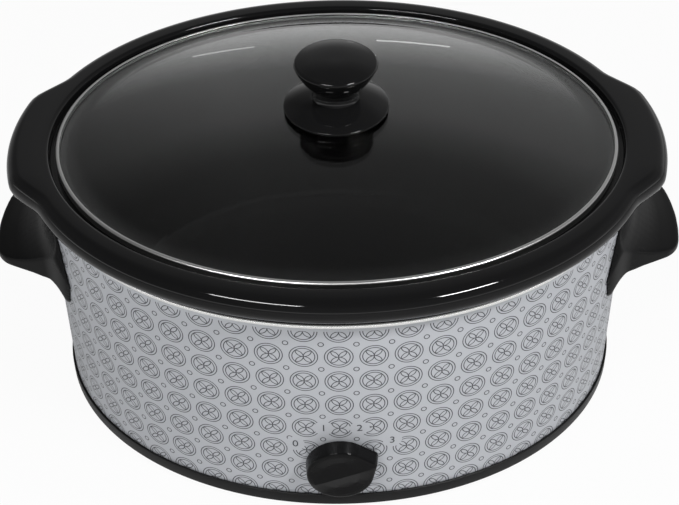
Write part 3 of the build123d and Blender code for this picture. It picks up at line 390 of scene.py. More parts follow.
def rosette_group():
    """Line print of ringed four-petal rosettes in straight rows, with a small ring between each four."""
    if "Rosette print" in bpy.data.node_groups:
        return bpy.data.node_groups["Rosette print"]
    inputs = [
        ("Vector", "NodeSocketVector", None),
        ("Pitch", "NodeSocketFloat", 0.02),
        ("Ring", "NodeSocketFloat", 0.008),
        ("Line", "NodeSocketFloat", 0.0005),
    ]
    group, given, out = new_group("Rosette print", inputs, [("Ink", "NodeSocketFloat")])
    parts = group.nodes.new("ShaderNodeSeparateXYZ")
    group.links.new(given["Vector"], parts.inputs[0])
    half = math_node(group, "MULTIPLY", given["Pitch"], 0.5)
    low = math_node(group, "MULTIPLY", given["Pitch"], -0.5)
    x = math_node(group, "ABSOLUTE", math_node(group, "WRAP", parts.outputs["X"], half, low))
    y = math_node(group, "ABSOLUTE", math_node(group, "WRAP", parts.outputs["Y"], half, low))

    def distance(across, up):
        """Distance from the origin of a point given by two sockets."""
        squares = [math_node(group, "MULTIPLY", value, value) for value in (across, up)]
        return math_node(group, "SQRT", math_node(group, "ADD", *squares))

    def outline(length, radius):
        """Distance from a circle's line."""
        return math_node(group, "ABSOLUTE", math_node(group, "SUBTRACT", length, radius))

    middle = distance(x, y)
    inner = math_node(group, "MULTIPLY", given["Ring"], ROSETTE_INNER)
    petal = math_node(group, "MULTIPLY", inner, ROSETTE_PETAL)
    corner = distance(math_node(group, "SUBTRACT", half, x), math_node(group, "SUBTRACT", half, y))
    petals = [
        outline(distance(math_node(group, "SUBTRACT", x, petal), y), petal),
        outline(distance(x, math_node(group, "SUBTRACT", y, petal)), petal),
    ]
    outside = math_node(group, "SUBTRACT", middle, inner)
    lines = [math_node(group, "MAXIMUM", line, outside) for line in petals]
    lines += [outline(middle, inner), outline(middle, given["Ring"])]
    lines.append(outline(corner, math_node(group, "MULTIPLY", given["Ring"], ROSETTE_SMALL)))
    nearest = lines[0]
    for line in lines[1:]:
        nearest = math_node(group, "MINIMUM", nearest, line)
    edge = group.nodes.new("ShaderNodeMapRange")
    edge.interpolation_type = "SMOOTHSTEP"
    group.links.new(nearest, edge.inputs["Value"])
    for share, end in zip(INK_FADE, ("From Min", "From Max")):
        group.links.new(math_node(group, "MULTIPLY", given["Line"], share), edge.inputs[end])
    edge.inputs["To Min"].default_value = 1
    edge.inputs["To Max"].default_value = 0
    group.links.new(edge.outputs["Result"], out["Ink"])
    return group


def finish_material(
    name,
    colour,
    roughness,
    spread,
    relief,
    smear=22.0,
    grain=900.0,
    metallic=0.0,
    squeeze=(1, 1, 1),
    gloss=0.5,
):
    """Material with uneven gloss and fine relief on Object coordinates."""
    if name in bpy.data.materials:
        return bpy.data.materials[name]
    material = bpy.data.materials.new(name)
    material.use_nodes = True
    tree = material.node_tree
    shader = tree.nodes["Principled BSDF"]
    shader.inputs["Base Color"].default_value = (*colour, 1)
    shader.inputs["Metallic"].default_value = metallic
    shader.inputs["Specular IOR Level"].default_value = gloss
    place = tree.nodes.new("ShaderNodeTexCoord")
    mapping = tree.nodes.new("ShaderNodeMapping")
    mapping.inputs["Scale"].default_value = squeeze
    tree.links.new(place.outputs["Object"], mapping.inputs["Vector"])
    surface = tree.nodes.new("ShaderNodeGroup")
    surface.node_tree = surface_group()
    tree.links.new(mapping.outputs["Vector"], surface.inputs["Vector"])
    surface.inputs["Smear Scale"].default_value = smear
    surface.inputs["Grain Scale"].default_value = grain
    surface.inputs["Roughness"].default_value = roughness
    surface.inputs["Spread"].default_value = spread
    tree.links.new(surface.outputs["Roughness"], shader.inputs["Roughness"])
    if relief:
        bump = tree.nodes.new("ShaderNodeBump")
        bump.inputs["Strength"].default_value = 1
        bump.inputs["Distance"].default_value = relief
        tree.links.new(surface.outputs["Height"], bump.inputs["Height"])
        tree.links.new(bump.outputs["Normal"], shader.inputs["Normal"])
    return material


def glaze():
    """Black glaze with the slow ripple of a dipped and fired pot."""
    return finish_material(
        "Black glaze",
        colours().glaze_black,
        roughness=0.05,
        spread=0.02,
        relief=0.02 * MM,
        smear=9,
        grain=16,
        gloss=BLACK_GLOSS,
    )


def gloss_black():
    """Polished moulded plastic of the lid's knob and its skirt."""
    return finish_material(
        "Gloss black plastic",
        colours().plastic_black,
        roughness=0.06,
        spread=0.02,
        relief=0.001 * MM,
        gloss=BLACK_GLOSS,
    )


def knob_black():
    """Moulded plastic of the control knob, deeper black."""
    return finish_material(
        "Control knob plastic",
        colours().plastic_black,
        roughness=0.08,
        spread=0.02,
        relief=0.001 * MM,
        gloss=DEEP_BLACK_GLOSS,
    )


def handle_black():
    """Moulded plastic of the side handles, less polished."""
    return finish_material(
        "Handle black plastic",
        colours().plastic_black,
        roughness=0.28,
        spread=0.04,
        relief=0.004 * MM,
        grain=1400,
        gloss=DEEP_BLACK_GLOSS,
    )


def tray_black():
    """Finely textured plastic of the base tray and the gland."""
    return finish_material(
        "Tray black plastic",
        colours().plastic_black,
        roughness=0.36,
        spread=0.05,
        relief=0.02 * MM,
        grain=1800,
        gloss=BLACK_GLOSS,
    )


def bright_steel():
    """Rolled and polished steel with lines left along the rolling."""
    return finish_material(
        "Bright steel",
        colours().steel,
        roughness=0.3,
        spread=0.05,
        relief=0.002 * MM,
        smear=30,
        grain=400,
        metallic=1,
        squeeze=(1, 1, 9),
    )


def pale_steel():
    """Satin steel of the well and its rolled rim."""
    return finish_material(
        "Pale steel",
        colours().rim_white,
        roughness=0.24,
        spread=0.04,
        relief=0.002 * MM,
        smear=30,
        grain=400,
        metallic=1,
        squeeze=(1, 1, 9),
    )


def plated_steel():
    """Dull plated steel of the fixings."""
    return finish_material(
        "Plated steel",
        colour=(0.55, 0.55, 0.52),
        roughness=0.34,
        spread=0.06,
        relief=0.006 * MM,
        smear=120,
        metallic=1,
    )


def rubber():
    """Soft black rubber of the feet and washers."""
    return finish_material(
        "Black rubber",
        colour=(0.02, 0.02, 0.02),
        roughness=0.75,
        spread=0.08,
        relief=0.03 * MM,
        grain=2500,
    )


def lid_glass_material():
    """Clear tempered glass."""
    if "Lid glass" in bpy.data.materials:
        return bpy.data.materials["Lid glass"]
    material = finish_material("Lid glass", colours().glass_tint, roughness=0.004, spread=0.003, relief=0)
    shader = material.node_tree.nodes["Principled BSDF"]
    shader.inputs["Transmission Weight"].default_value = 1
    shader.inputs["IOR"].default_value = 1.5
    return material


def printed_wrap():
    """Satin silver paint with the rosette print, plain near the rolled rim."""
    if "Printed silver wrap" in bpy.data.materials:
        return bpy.data.materials["Printed silver wrap"]
    material = finish_material(
        "Printed silver wrap",
        colours().wrap_silver,
        roughness=0.42,
        spread=0.04,
        relief=0.006 * MM,
        grain=2200,
    )
    tree = material.node_tree
    shader = tree.nodes["Principled BSDF"]
    shader.inputs["Metallic"].default_value = 0.25
    chart = tree.nodes.new("ShaderNodeUVMap")
    chart.uv_map = "wrap"
    print_lines = tree.nodes.new("ShaderNodeGroup")
    print_lines.node_tree = rosette_group()
    print_top = WRAP_HIGH.z - sizes().plain_strip
    rows = tree.nodes.new("ShaderNodeMapping")
    rows.inputs["Location"].default_value = (0, -print_top, 0)
    tree.links.new(chart.outputs["UV"], rows.inputs["Vector"])
    tree.links.new(rows.outputs["Vector"], print_lines.inputs["Vector"])
    print_lines.inputs["Pitch"].default_value = sizes().print_pitch
    print_lines.inputs["Ring"].default_value = sizes().print_ring
    print_lines.inputs["Line"].default_value = sizes().print_line
    parts = tree.nodes.new("ShaderNodeSeparateXYZ")
    tree.links.new(chart.outputs["UV"], parts.inputs[0])
    below = math_node(tree, "LESS_THAN", parts.outputs["Y"], print_top)
    ink = math_node(tree, "MULTIPLY", print_lines.outputs["Ink"], below)
    clearing = NUMBER_CLEARING * sizes().number_height
    for along, height in DIAL_PLACES:
        gap = tree.nodes.new("ShaderNodeVectorMath")
        gap.operation = "DISTANCE"
        tree.links.new(chart.outputs["UV"], gap.inputs[0])
        gap.inputs[1].default_value = (along, height, 0)
        clear = math_node(tree, "GREATER_THAN", gap.outputs["Value"], clearing)
        ink = math_node(tree, "MULTIPLY", ink, clear)
    mix = tree.nodes.new("ShaderNodeMix")
    mix.data_type = "RGBA"
    tree.links.new(ink, mix.inputs["Factor"])
    silver, grey = [socket for socket in mix.inputs if socket.type == "RGBA"]
    silver.default_value = (*colours().wrap_silver, 1)
    grey.default_value = (*colours().print_grey, 1)
    printed = next(socket for socket in mix.outputs if socket.type == "RGBA")
    tree.links.new(printed, shader.inputs["Base Color"])
    return material


class COOKER_OT_crock(bpy.types.Operator):
    """Model the glazed crock with its thick rim and lifting wings"""

    bl_idname = "cooker.crock"
    bl_label = "Crock"

    wall = 8.0 * MM
    rim_height = 16.4 * MM
    rim_round = 8.1 * MM
    recess = 6.9 * MM  # rim's top down to the lid's ledge
    collar_gap = 0.3 * MM  # rolled rim up to the collar
    foot_hollow = 1.5 * MM
    # Places across, as distances outside the rolled rim
    floor_middle = -85.0 * MM
    floor_loop = -62.0 * MM
    inner_foot = -37.5 * MM
    ledge_edge = -16.5 * MM
    recess_wall = -6.2 * MM
    collar_wall = -1.0 * MM
    outer_top = -9.5 * MM
    outer_foot = -29.5 * MM
    foot_ring = -58.0 * MM
    # Roundings
    inner_foot_round = 18.0 * MM
    ledge_round = 3.0 * MM
    recess_round = 2.5 * MM
    collar_round = 1.2 * MM
    outer_top_round = 0.6 * MM
    outer_foot_round = 24.0 * MM
    foot_hollow_round = 0.5 * MM
    corner_round = 0.8 * MM
    # Wings
    wing_half_width = 44.0 * MM
    wing_root_half_width = 62.5 * MM
    tip_blend = 2.6 * MM
    root_blend = 1.2 * MM
    wing_limit = math.radians(32)  # of the outline, either side of the oval's end
    wing_start = -2.0 * MM  # outside the rolled rim, where the rim starts to stretch
    wing_margin = 1.0 * MM  # under the rim, where points still move

    def wing_outline(self, reach, x, y):
        """Share by which a point on the plain rim's oval moves out to the winged outline."""
        wing_reach = CROCK_HIGH.x - RIM.x
        turn = math.atan2(abs(y), abs(x))
        if turn > self.wing_limit:
            return 1
        cos, sin = math.cos(turn), math.sin(turn)

        def oval_radius(offset):
            return 1 / math.hypot(cos / (RIM.x + offset), sin / (RIM.y + offset))

        def oval_x(offset, at_y):
            return (RIM.x + offset) * math.sqrt(1 - (at_y / (RIM.y + offset)) ** 2)

        tip_x = oval_x(wing_reach, self.wing_half_width)
        root_x = oval_x(reach, self.wing_root_half_width)
        lean = (tip_x - root_x) / (self.wing_root_half_width - self.wing_half_width)
        side = (tip_x + lean * self.wing_half_width) / (cos + lean * sin)
        end = oval_radius(wing_reach)
        plain = oval_radius(reach)
        overlap = max(0, 1 - abs(side - end) / self.tip_blend)
        wing = min(side, end) - overlap**2 * self.tip_blend / 4
        overlap = max(0, 1 - abs(wing - plain) / self.root_blend)
        return (max(wing, plain) + overlap**2 * self.root_blend / 4) / plain

    def draw_out_wings(self, piece, reach):
        """Moves the rim's outer half out to the winged outline, and the flats beside it in proportion."""
        under = CROCK_HIGH.z - 2 * self.rim_round - self.wing_margin
        start = self.wing_start
        for vertex in piece.data.vertices:
            x, y, z = vertex.co
            turn = math.atan2(y / RIM.y, x / RIM.x)
            offset = math.hypot(x, y) - math.hypot(RIM.x * math.cos(turn), RIM.y * math.sin(turn))
            if z < under or offset < start:
                continue
            share = min(1, (offset - start) / (reach - self.rim_round - start))
            plain = Vector(((RIM.x + reach) * math.cos(turn), (RIM.y + reach) * math.sin(turn)))
            shift = plain * (self.wing_outline(reach, *plain) - 1) * share
            vertex.co.x += shift.x
            vertex.co.y += shift.y

    def execute(self, context):
        reach = CROCK_HIGH.y - RIM.y
        top, bottom = CROCK_HIGH.z, CROCK_LOW.z
        ledge = top - self.recess
        rim_bottom = top - self.rim_height
        collar = RIM.z + self.collar_gap
        floor = bottom + self.wall
        hollow = bottom + self.foot_hollow
        profile = rounded(
            [
                (self.floor_middle, floor, 0),
                (self.floor_loop, floor, 0),
                (self.inner_foot, floor, self.inner_foot_round),
                (self.ledge_edge, ledge, self.ledge_round),
                (self.recess_wall, ledge, self.corner_round),
                (self.recess_wall, top, self.recess_round),
                (reach, top, self.rim_round),
                (reach, rim_bottom, self.rim_round),
                (self.collar_wall, rim_bottom, self.corner_round),
                (self.collar_wall, collar, self.collar_round),
                (self.outer_top, collar, self.outer_top_round),
                (self.outer_foot, bottom, self.outer_foot_round),
                (self.foot_ring, bottom, self.corner_round),
                (self.foot_ring, hollow, self.foot_hollow_round),
                (self.floor_middle, hollow, 0),
            ]
        )
        piece = loop_piece("crock_glazed", oval_loops(profile), filled=True)
        self.draw_out_wings(piece, reach)
        settle(piece, glaze(), "crock", "crock_glaze", "crock")
        return {"FINISHED"}


class COOKER_OT_lid(bpy.types.Operator):
    """Model the glass dome and the bright band round its edge"""

    bl_idname = "cooker.lid"
    bl_label = "Lid"

    glass = 4.0 * MM
    glass_round = 0.9 * MM
    flat = 8.2 * MM  # margin between the dome and the band's lip
    margin_rise = 0.45 * MM  # slope of that margin
    crown = 0.16  # flat top, as a share of the dome
    steps = 26
    hole = 4.5 * MM
    lip = 1.8 * MM
    sheet = 0.5 * MM
    band_round = 1.3 * MM
    band_inner_round = 0.8 * MM
    lip_round = 0.2 * MM

    def dome(self, base, edge_x, edge_y):
        """Loops of one face of the dome, from the flat margin up to the flat crown."""
        rise = GLASS_HIGH.z - GLASS_LOW.z - self.glass - self.margin_rise
        loops = []
        for step in range(self.steps + 1):
            share = 1 - (1 - self.crown) * step / self.steps
            height = rise * (1 - share**2) / (1 - self.crown**2)
            loops.append((edge_x * share, edge_y * share, base + self.margin_rise + height))
        return loops

    def execute(self, context):
        edge = GLASS_HIGH.x - RIM.x
        low = GLASS_LOW.z
        high = low + self.glass
        dome_edge = BAND_HIGH.x - RIM.x - self.sheet - self.lip - self.flat
        dome_x, dome_y = RIM.x + dome_edge, RIM.y + dome_edge
        above = self.dome(high, dome_x, dome_y)
        below = self.dome(low, dome_x, dome_y)
        crown_top, crown_under = above[-1][2], below[-1][2]
        margin_end = dome_edge + self.flat
        rim = rounded(
            [
                (margin_end, low, 0),
                (edge, low, self.glass_round),
                (edge, high, self.glass_round),
                (margin_end, high, 0),
            ]
        )
        hole = [(self.hole, self.hole, crown_top), (self.hole, self.hole, crown_under)]
        loops = below[::-1] + oval_loops(rim) + above + hole
        loops.append(loops[0])
        dome = loop_piece("lid_glass_dome", loops)
        settle(dome, lid_glass_material(), "lid", "lid_glass", "lid_glass")

        out, low, high = BAND_HIGH.x - RIM.x, BAND_LOW.z, BAND_HIGH.z
        end = out - self.sheet - self.lip
        section = rounded(
            [
                (out, low, self.band_round),
                (out, high, self.band_round),
                (end, high, self.lip_round),
                (end, high - self.sheet, self.lip_round),
                (out - self.sheet, high - self.sheet, self.band_inner_round),
                (out - self.sheet, low + self.sheet, self.band_inner_round),
                (end, low + self.sheet, self.lip_round),
                (end, low, self.lip_round),
            ],
            closed=True,
        )
        band = loop_piece("lid_bright_band", oval_loops(section))
        settle(band, bright_steel(), "lid", "bright_steel", "lid_rim_band")
        return {"FINISHED"}


class COOKER_OT_lid_knob(bpy.types.Operator):
    """Model the lid's knob and the skirt under it"""

    bl_idname = "cooker.lid_knob"
    bl_label = "Lid knob"

    foot_inner = 4.2 * MM
    foot_radius = 14.3 * MM
    neck_radius = 13.1 * MM
    neck_height = 6.5 * MM
    widest_height = 22.0 * MM
    brow_inset = 1.9 * MM  # from the widest radius
    brow_height = 23.9 * MM
    top_share = 1 / 8  # flat top, as a share of the widest radius
    # How far each stretch of the profile bows off its chord
    foot_bow = -0.5 * MM
    neck_bow = 1.55 * MM
    brow_bow = 0.5 * MM
    top_bow = 0.7 * MM
    brow_steps = 6
    # Skirt
    skirt_hole = 2.8 * MM
    skirt_top = 15.5 * MM  # radius where it meets the knob
    skirt_swell = 1.9 * MM  # how far its slope stands off the chord
    skirt_slope_round = 60.0 * MM
    skirt_edge = 1.8 * MM
    skirt_round = 0.8 * MM
    skirt_foot_round = 0.7 * MM
    skirt_lip = 2.6 * MM
    skirt_lip_depth = 0.4 * MM
    skirt_lip_round = 0.15 * MM

    def execute(self, context):
        foot, top, head = KNOB_LOW.z, KNOB_HIGH.z, KNOB_HIGH.x
        neck = (self.neck_radius, foot + self.neck_height)
        widest = (head, foot + self.widest_height)
        brow = (head - self.brow_inset, foot + self.brow_height)
        profile = [Vector((self.foot_inner, foot)), Vector((self.foot_radius, foot))]
        profile += bowed(profile[-1], neck, self.foot_bow)[1:]
        profile += bowed(neck, widest, self.neck_bow)[1:]
        profile += bowed(widest, brow, self.brow_bow, steps=self.brow_steps)[1:]
        profile += bowed(brow, (head * self.top_share, top), self.top_bow)[1:]
        knob = loop_piece("lid_knob_turned", round_loops(profile), filled=True)
        settle(knob, gloss_black(), "lid", "knob_black", "lid_knob")

        low, high, edge = SKIRT_LOW.z, SKIRT_HIGH.z, SKIRT_HIGH.x
        under = low + self.skirt_lip_depth
        slope = ((edge + self.skirt_top) / 2, (low + high) / 2 + self.skirt_swell)
        section = rounded(
            [
                (self.skirt_hole, high, 0),
                (self.skirt_hole, under, 0),
                (edge - self.skirt_lip, under, self.skirt_lip_round),
                (edge - self.skirt_lip, low, self.skirt_lip_round),
                (edge, low, self.skirt_foot_round),
                (edge, low + self.skirt_edge, self.skirt_round),
                (*slope, self.skirt_slope_round),
                (self.skirt_top, high, self.skirt_round),
            ],
            closed=True,
        )
        skirt = loop_piece("lid_knob_skirt_turned", round_loops(section))
        settle(skirt, gloss_black(), "lid", "knob_black", "lid_knob_skirt")
        return {"FINISHED"}


class COOKER_OT_wrap(bpy.types.Operator):
    """Model the printed wrap and chart it along its length"""

    bl_idname = "cooker.wrap"
    bl_label = "Printed wrap"

    sheet = 0.6 * MM
    chart_steps = 4096

    def chart(self, piece):
        """UV map in metres: along the wrap, eased so that whole rosettes meet at the back, and up."""
        lengths = [0.0]
        spot = Vector((0, -WRAP_HIGH.y))
        for step in range(1, self.chart_steps + 1):
            turn = math.pi * step / self.chart_steps
            new_spot = Vector((WRAP_HIGH.x * math.sin(turn), -WRAP_HIGH.y * math.cos(turn)))
            lengths.append(lengths[-1] + (new_spot - spot).length)
            spot = new_spot
        rosettes = lengths[-1] / sizes().print_pitch
        fit = round(rosettes) / rosettes
        layer = piece.data.uv_layers.new(name="wrap")
        for polygon in piece.data.polygons:
            side = math.copysign(1, polygon.center.x)
            for loop in polygon.loop_indices:
                x, y, z = piece.data.vertices[piece.data.loops[loop].vertex_index].co
                turn = abs(math.atan2(x / WRAP_HIGH.x, -y / WRAP_HIGH.y))
                length = lengths[min(self.chart_steps, round(turn / math.pi * self.chart_steps))]
                layer.data[loop].uv = (side * length * fit, z)

    def execute(self, context):
        out = WRAP_HIGH.x - RIM.x
        section = [
            (out, WRAP_LOW.z),
            (out, (WRAP_LOW.z + WRAP_HIGH.z) / 2),
            (out, WRAP_HIGH.z),
            (out - self.sheet, WRAP_HIGH.z),
            (out - self.sheet, WRAP_LOW.z),
            (out, WRAP_LOW.z),
        ]
        piece = loop_piece("outer_wrap_printed", oval_loops(section))
        self.chart(piece)
        settle(piece, printed_wrap(), "base", "printed_wrap", "outer_wrap")
        return {"FINISHED"}


class COOKER_OT_dial_numbers(bpy.types.Operator):
    """Print the numbers of the control's four positions on the wrap"""

    bl_idname = "cooker.dial_numbers"
    bl_label = "Dial numbers"

    ink = 0.05 * MM

    def execute(self, context):
        start_clean()
        numbers = []
        for number, (x, z) in enumerate(DIAL_PLACES):
            y = -WRAP_HIGH.y * math.sqrt(1 - (x / WRAP_HIGH.x) ** 2) - self.ink
            lean = math.atan2(x / WRAP_HIGH.x**2, -y / WRAP_HIGH.y**2)
            bpy.ops.object.text_add(location=(x, y, z), rotation=(math.pi / 2, 0, lean))
            text = bpy.context.object
            text.data.body = str(number)
            text.data.size = sizes().number_height
            text.data.align_x = "CENTER"
            text.data.align_y = "CENTER"
            text.data.extrude = self.ink / 2
            bpy.ops.object.convert(target="MESH")
            bpy.ops.object.transform_apply(location=True, rotation=True, scale=True)
            numbers.append(bpy.context.object)
        for number in numbers:
            number.select_set(True)
        bpy.ops.object.join()
        piece = bpy.context.object
        piece.name = "dial_numbers"
        piece.data.name = "dial_numbers"
        piece.data.materials.clear()
        print_ink = finish_material(
            "Print ink", colours().print_grey, roughness=0.45, spread=0.05, relief=0.002 * MM
        )
        piece.data.materials.append(print_ink)
        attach(piece, "base")
        return {"FINISHED"}


class COOKER_OT_heating_well(bpy.types.Operator):
    """Model the drawn well and its rolled bright rim"""

    bl_idname = "cooker.heating_well"
    bl_label = "Heating well"

    sheet = 0.7 * MM
    bead = 3.8 * MM  # rolled rim, across and high
    roll = 1.85 * MM  # rounding of the rolled rim's outer side
    inner_roll = 0.9 * MM
    flange_drop = 1.1 * MM  # rolled rim's top down to the flange
    # Places across, as distances outside the rolled rim
    wall_top = -6.0 * MM
    wall_foot = -26.0 * MM
    floor_loop = -60.0 * MM
    floor_middle = -90.0 * MM
    # Roundings
    foot_round = 22.0 * MM
    flange_round = 0.5 * MM
    bend_round = 0.3 * MM

    def execute(self, context):
        flange = RIM.z - self.flange_drop
        under = flange - self.sheet
        low = WELL_LOW.z
        floor = low + self.sheet
        profile = rounded(
            [
                (self.floor_middle, floor, 0),
                (self.floor_loop, floor, 0),
                (self.wall_foot - self.sheet, floor, self.foot_round - self.sheet),
                (self.wall_top - self.sheet, flange, self.flange_round),
                (-self.bead, flange, self.bend_round),
                (-self.bead, RIM.z, self.roll - self.inner_roll),
                (0, RIM.z, self.roll),
                (0, RIM.z - self.bead, self.roll),
                (-self.bead, RIM.z - self.bead, self.inner_roll),
                (-self.bead, under, self.bend_round),
                (self.wall_top, under, self.bend_round),
                (self.wall_foot, low, self.foot_round),
                (self.floor_loop, low, 0),
                (self.floor_middle, low, 0),
            ]
        )
        piece = loop_piece("heating_well_drawn", oval_loops(profile), filled=True)
        settle(piece, pale_steel(), "base", "bright_steel", "heating_well")
        return {"FINISHED"}


class COOKER_OT_side_handles(bpy.types.Operator):
    """Model the side handles, with a thin edge and a hollow underside"""

    bl_idname = "cooker.side_handles"
    bl_label = "Side handles"

    grain = 0.9 * MM
    smoothing_passes = 3
    reach = 36.0 * MM  # wall to the grip's tip
    narrowing = 0.085
    thinning = 4.0 * MM
    hollow_depth = 3.5 * MM
    # Where each change starts and ends, as shares of the reach
    narrows = (0.06, 0.35)
    thins = (0.3, 1)
    hollow_starts = (0, 0.2)
    hollow_ends = (0.2, 0.6)
    # The same, as heights
    edge_heights = (102.0 * MM, 110.0 * MM)
    hollow_heights = (99.0 * MM, 104.0 * MM)

    def shape(self, piece):
        """Narrows the grip towards its tip, thins its edge from above and hollows its underside."""
        for vertex in piece.data.vertices:
            x, y, z = vertex.co
            wall = WRAP_HIGH.x * math.sqrt(1 - (y / WRAP_HIGH.y) ** 2)
            out = (abs(x) - wall) / self.reach
            thin = eased(*self.thins, out) * eased(*self.edge_heights, z)
            hollow = eased(*self.hollow_starts, out) * (1 - eased(*self.hollow_ends, out))
            hollow *= 1 - eased(*self.hollow_heights, z)
            vertex.co.y = y * (1 - self.narrowing * eased(*self.narrows, out))
            vertex.co.z = z - self.thinning * thin + self.hollow_depth * hollow

    def execute(self, context):
        for node in ("side_handle_left", "side_handle_right"):
            piece = smoothed_copy(node, node + "_moulded")
            soften(piece, self.grain, self.smoothing_passes)
            self.shape(piece)
            settle(piece, handle_black(), "base", "handle_black", node)
        return {"FINISHED"}


class COOKER_OT_control_knob(bpy.types.Operator):
    """Model the control knob: a dished face with a rounded edge, a crest across it and a pointer"""

    bl_idname = "cooker.control_knob"
    bl_label = "Control knob"

    pointer = math.radians(22.5)  # above level, to the right
    reach = 23.9 * MM  # axis to the pointer's tip
    tip_overrun = 0.8 * MM  # past the tip, where the pointer's sides would meet
    edge = 9.6 * MM  # back of the knob to its front edge
    crest = 11.2 * MM  # back of the knob to its crest
    crest_half_width = 9.5 * MM
    dish = 0.7 * MM
    dish_run = 4.0 * MM
    recess = (9.0 * MM, 3.5 * MM)  # radius and depth of the hollow back
    face_steps = 16
    # Distances in from the knob's radius
    lean = 0.9 * MM
    edge_inset = 4.4 * MM
    dish_inset = 9.4 * MM
    # Shares of the knob's radius
    crest_end = (0.7, 0.98)
    pointer_root = 0.4
    # Roundings
    recess_round = 0.3 * MM
    back_round = 0.4 * MM
    edge_round = 1.7 * MM
    inner_edge_round = 3.0 * MM
    dish_round = 7.0 * MM

    def shape(self, piece, radius):
        """Raises the crest, draws out the pointer and turns the knob to face the front."""
        height = (CONTROL_LOW.z + CONTROL_HIGH.z) / 2
        tangent = math.acos(radius / (self.reach + self.tip_overrun))
        fade_start, fade_end = [share * radius for share in self.crest_end]
        root = self.pointer_root * radius
        for vertex in piece.data.vertices:
            across, up, depth = vertex.co
            length = math.hypot(across, up)
            turn = math.atan2(up, across) - self.pointer
            beside = abs(length * math.sin(turn))
            slope = max(0, 1 - beside / self.crest_half_width)
            inside = 1 - eased(fade_start, fade_end, length)
            if depth > self.edge / 2:
                depth += max(0, self.crest - depth) * slope * inside
            if abs(turn) < tangent:
                drawn = min(self.reach, radius / math.cos(tangent - abs(turn)))
                grown = 1 + (drawn / radius - 1) * eased(root, radius, length)
                across, up = across * grown, up * grown
            vertex.co = (across, CONTROL_HIGH.y - depth, height + up)

    def execute(self, context):
        radius = -CONTROL_LOW.x
        floor = self.edge - self.dish
        face = radius - self.dish_inset
        profile = rounded(
            [
                (*self.recess, 0),
                (self.recess[0], 0, self.recess_round),
                (radius, 0, self.back_round),
                (radius - self.lean, self.edge, self.edge_round),
                (radius - self.edge_inset, self.edge, self.inner_edge_round),
                (face, floor, self.dish_round),
                (face - self.dish_run, floor, 0),
            ]
        )
        inner = profile[-1].x
        for step in range(1, self.face_steps):
            profile.append(Vector((inner * (1 - step / self.face_steps), floor)))
        piece = loop_piece("control_knob_moulded", round_loops(profile), filled=True)
        self.shape(piece, radius)
        settle(piece, knob_black(), "control", "knob_black", "control_knob")
        return {"FINISHED"}


class COOKER_OT_base_parts(bpy.types.Operator):
    """Smooth the base tray, feet and gland"""

    bl_idname = "cooker.base_parts"
    bl_label = "Base tray and feet"

    def execute(self, context):
        for node in ("base_tray", "cord_gland"):
            settle(smoothed_copy(node, node + "_moulded"), tray_black(), "base", "tray_black", node)
        for node in ("foot_back_left", "foot_back_right", "foot_front_left", "foot_front_right"):
            settle(smoothed_copy(node, node + "_moulded"), rubber(), "base", "seal_rubber", node)
        return {"FINISHED"}


class COOKER_OT_inner_parts(bpy.types.Operator):
    """Give the parts inside the base and the lid's fixing their finishes"""

    bl_idname = "cooker.inner_parts"
    bl_label = "Inner parts"

    # By slot: material, colour, roughness, its spread, relief and metallic share
    plain_finishes = {
        "heater_grey": ("Heater sheet", (0.3, 0.3, 0.29), 0.5, 0.08, 0.02 * MM, 1),
        "insulation_white": ("Glass fibre mat", (0.8, 0.78, 0.72), 0.95, 0.04, 0.25 * MM, 0),
        "brass": ("Brass", (0.72, 0.52, 0.2), 0.28, 0.05, 0.004 * MM, 1),
        "block_white": ("White moulded block", (0.78, 0.77, 0.72), 0.5, 0.05, 0.01 * MM, 0),
        "wire_white": ("White wire sleeve", (0.8, 0.8, 0.77), 0.7, 0.05, 0.05 * MM, 0),
    }

    def execute(self, context):
        finishes = {
            "plated_steel": plated_steel(),
            "tray_black": tray_black(),
            "seal_rubber": rubber(),
        }
        for slot, (*finish, metallic) in self.plain_finishes.items():
            finishes[slot] = finish_material(*finish, metallic=metallic)
        slots = {part["node"]: part["material_slot"] for part in frame["record"]["subparts"]}
        for name, node in frame["nodes"].items():
            if not node.hide_render:
                node.data.materials.clear()
                node.data.materials.append(finishes[slots[name]])
        return {"FINISHED"}


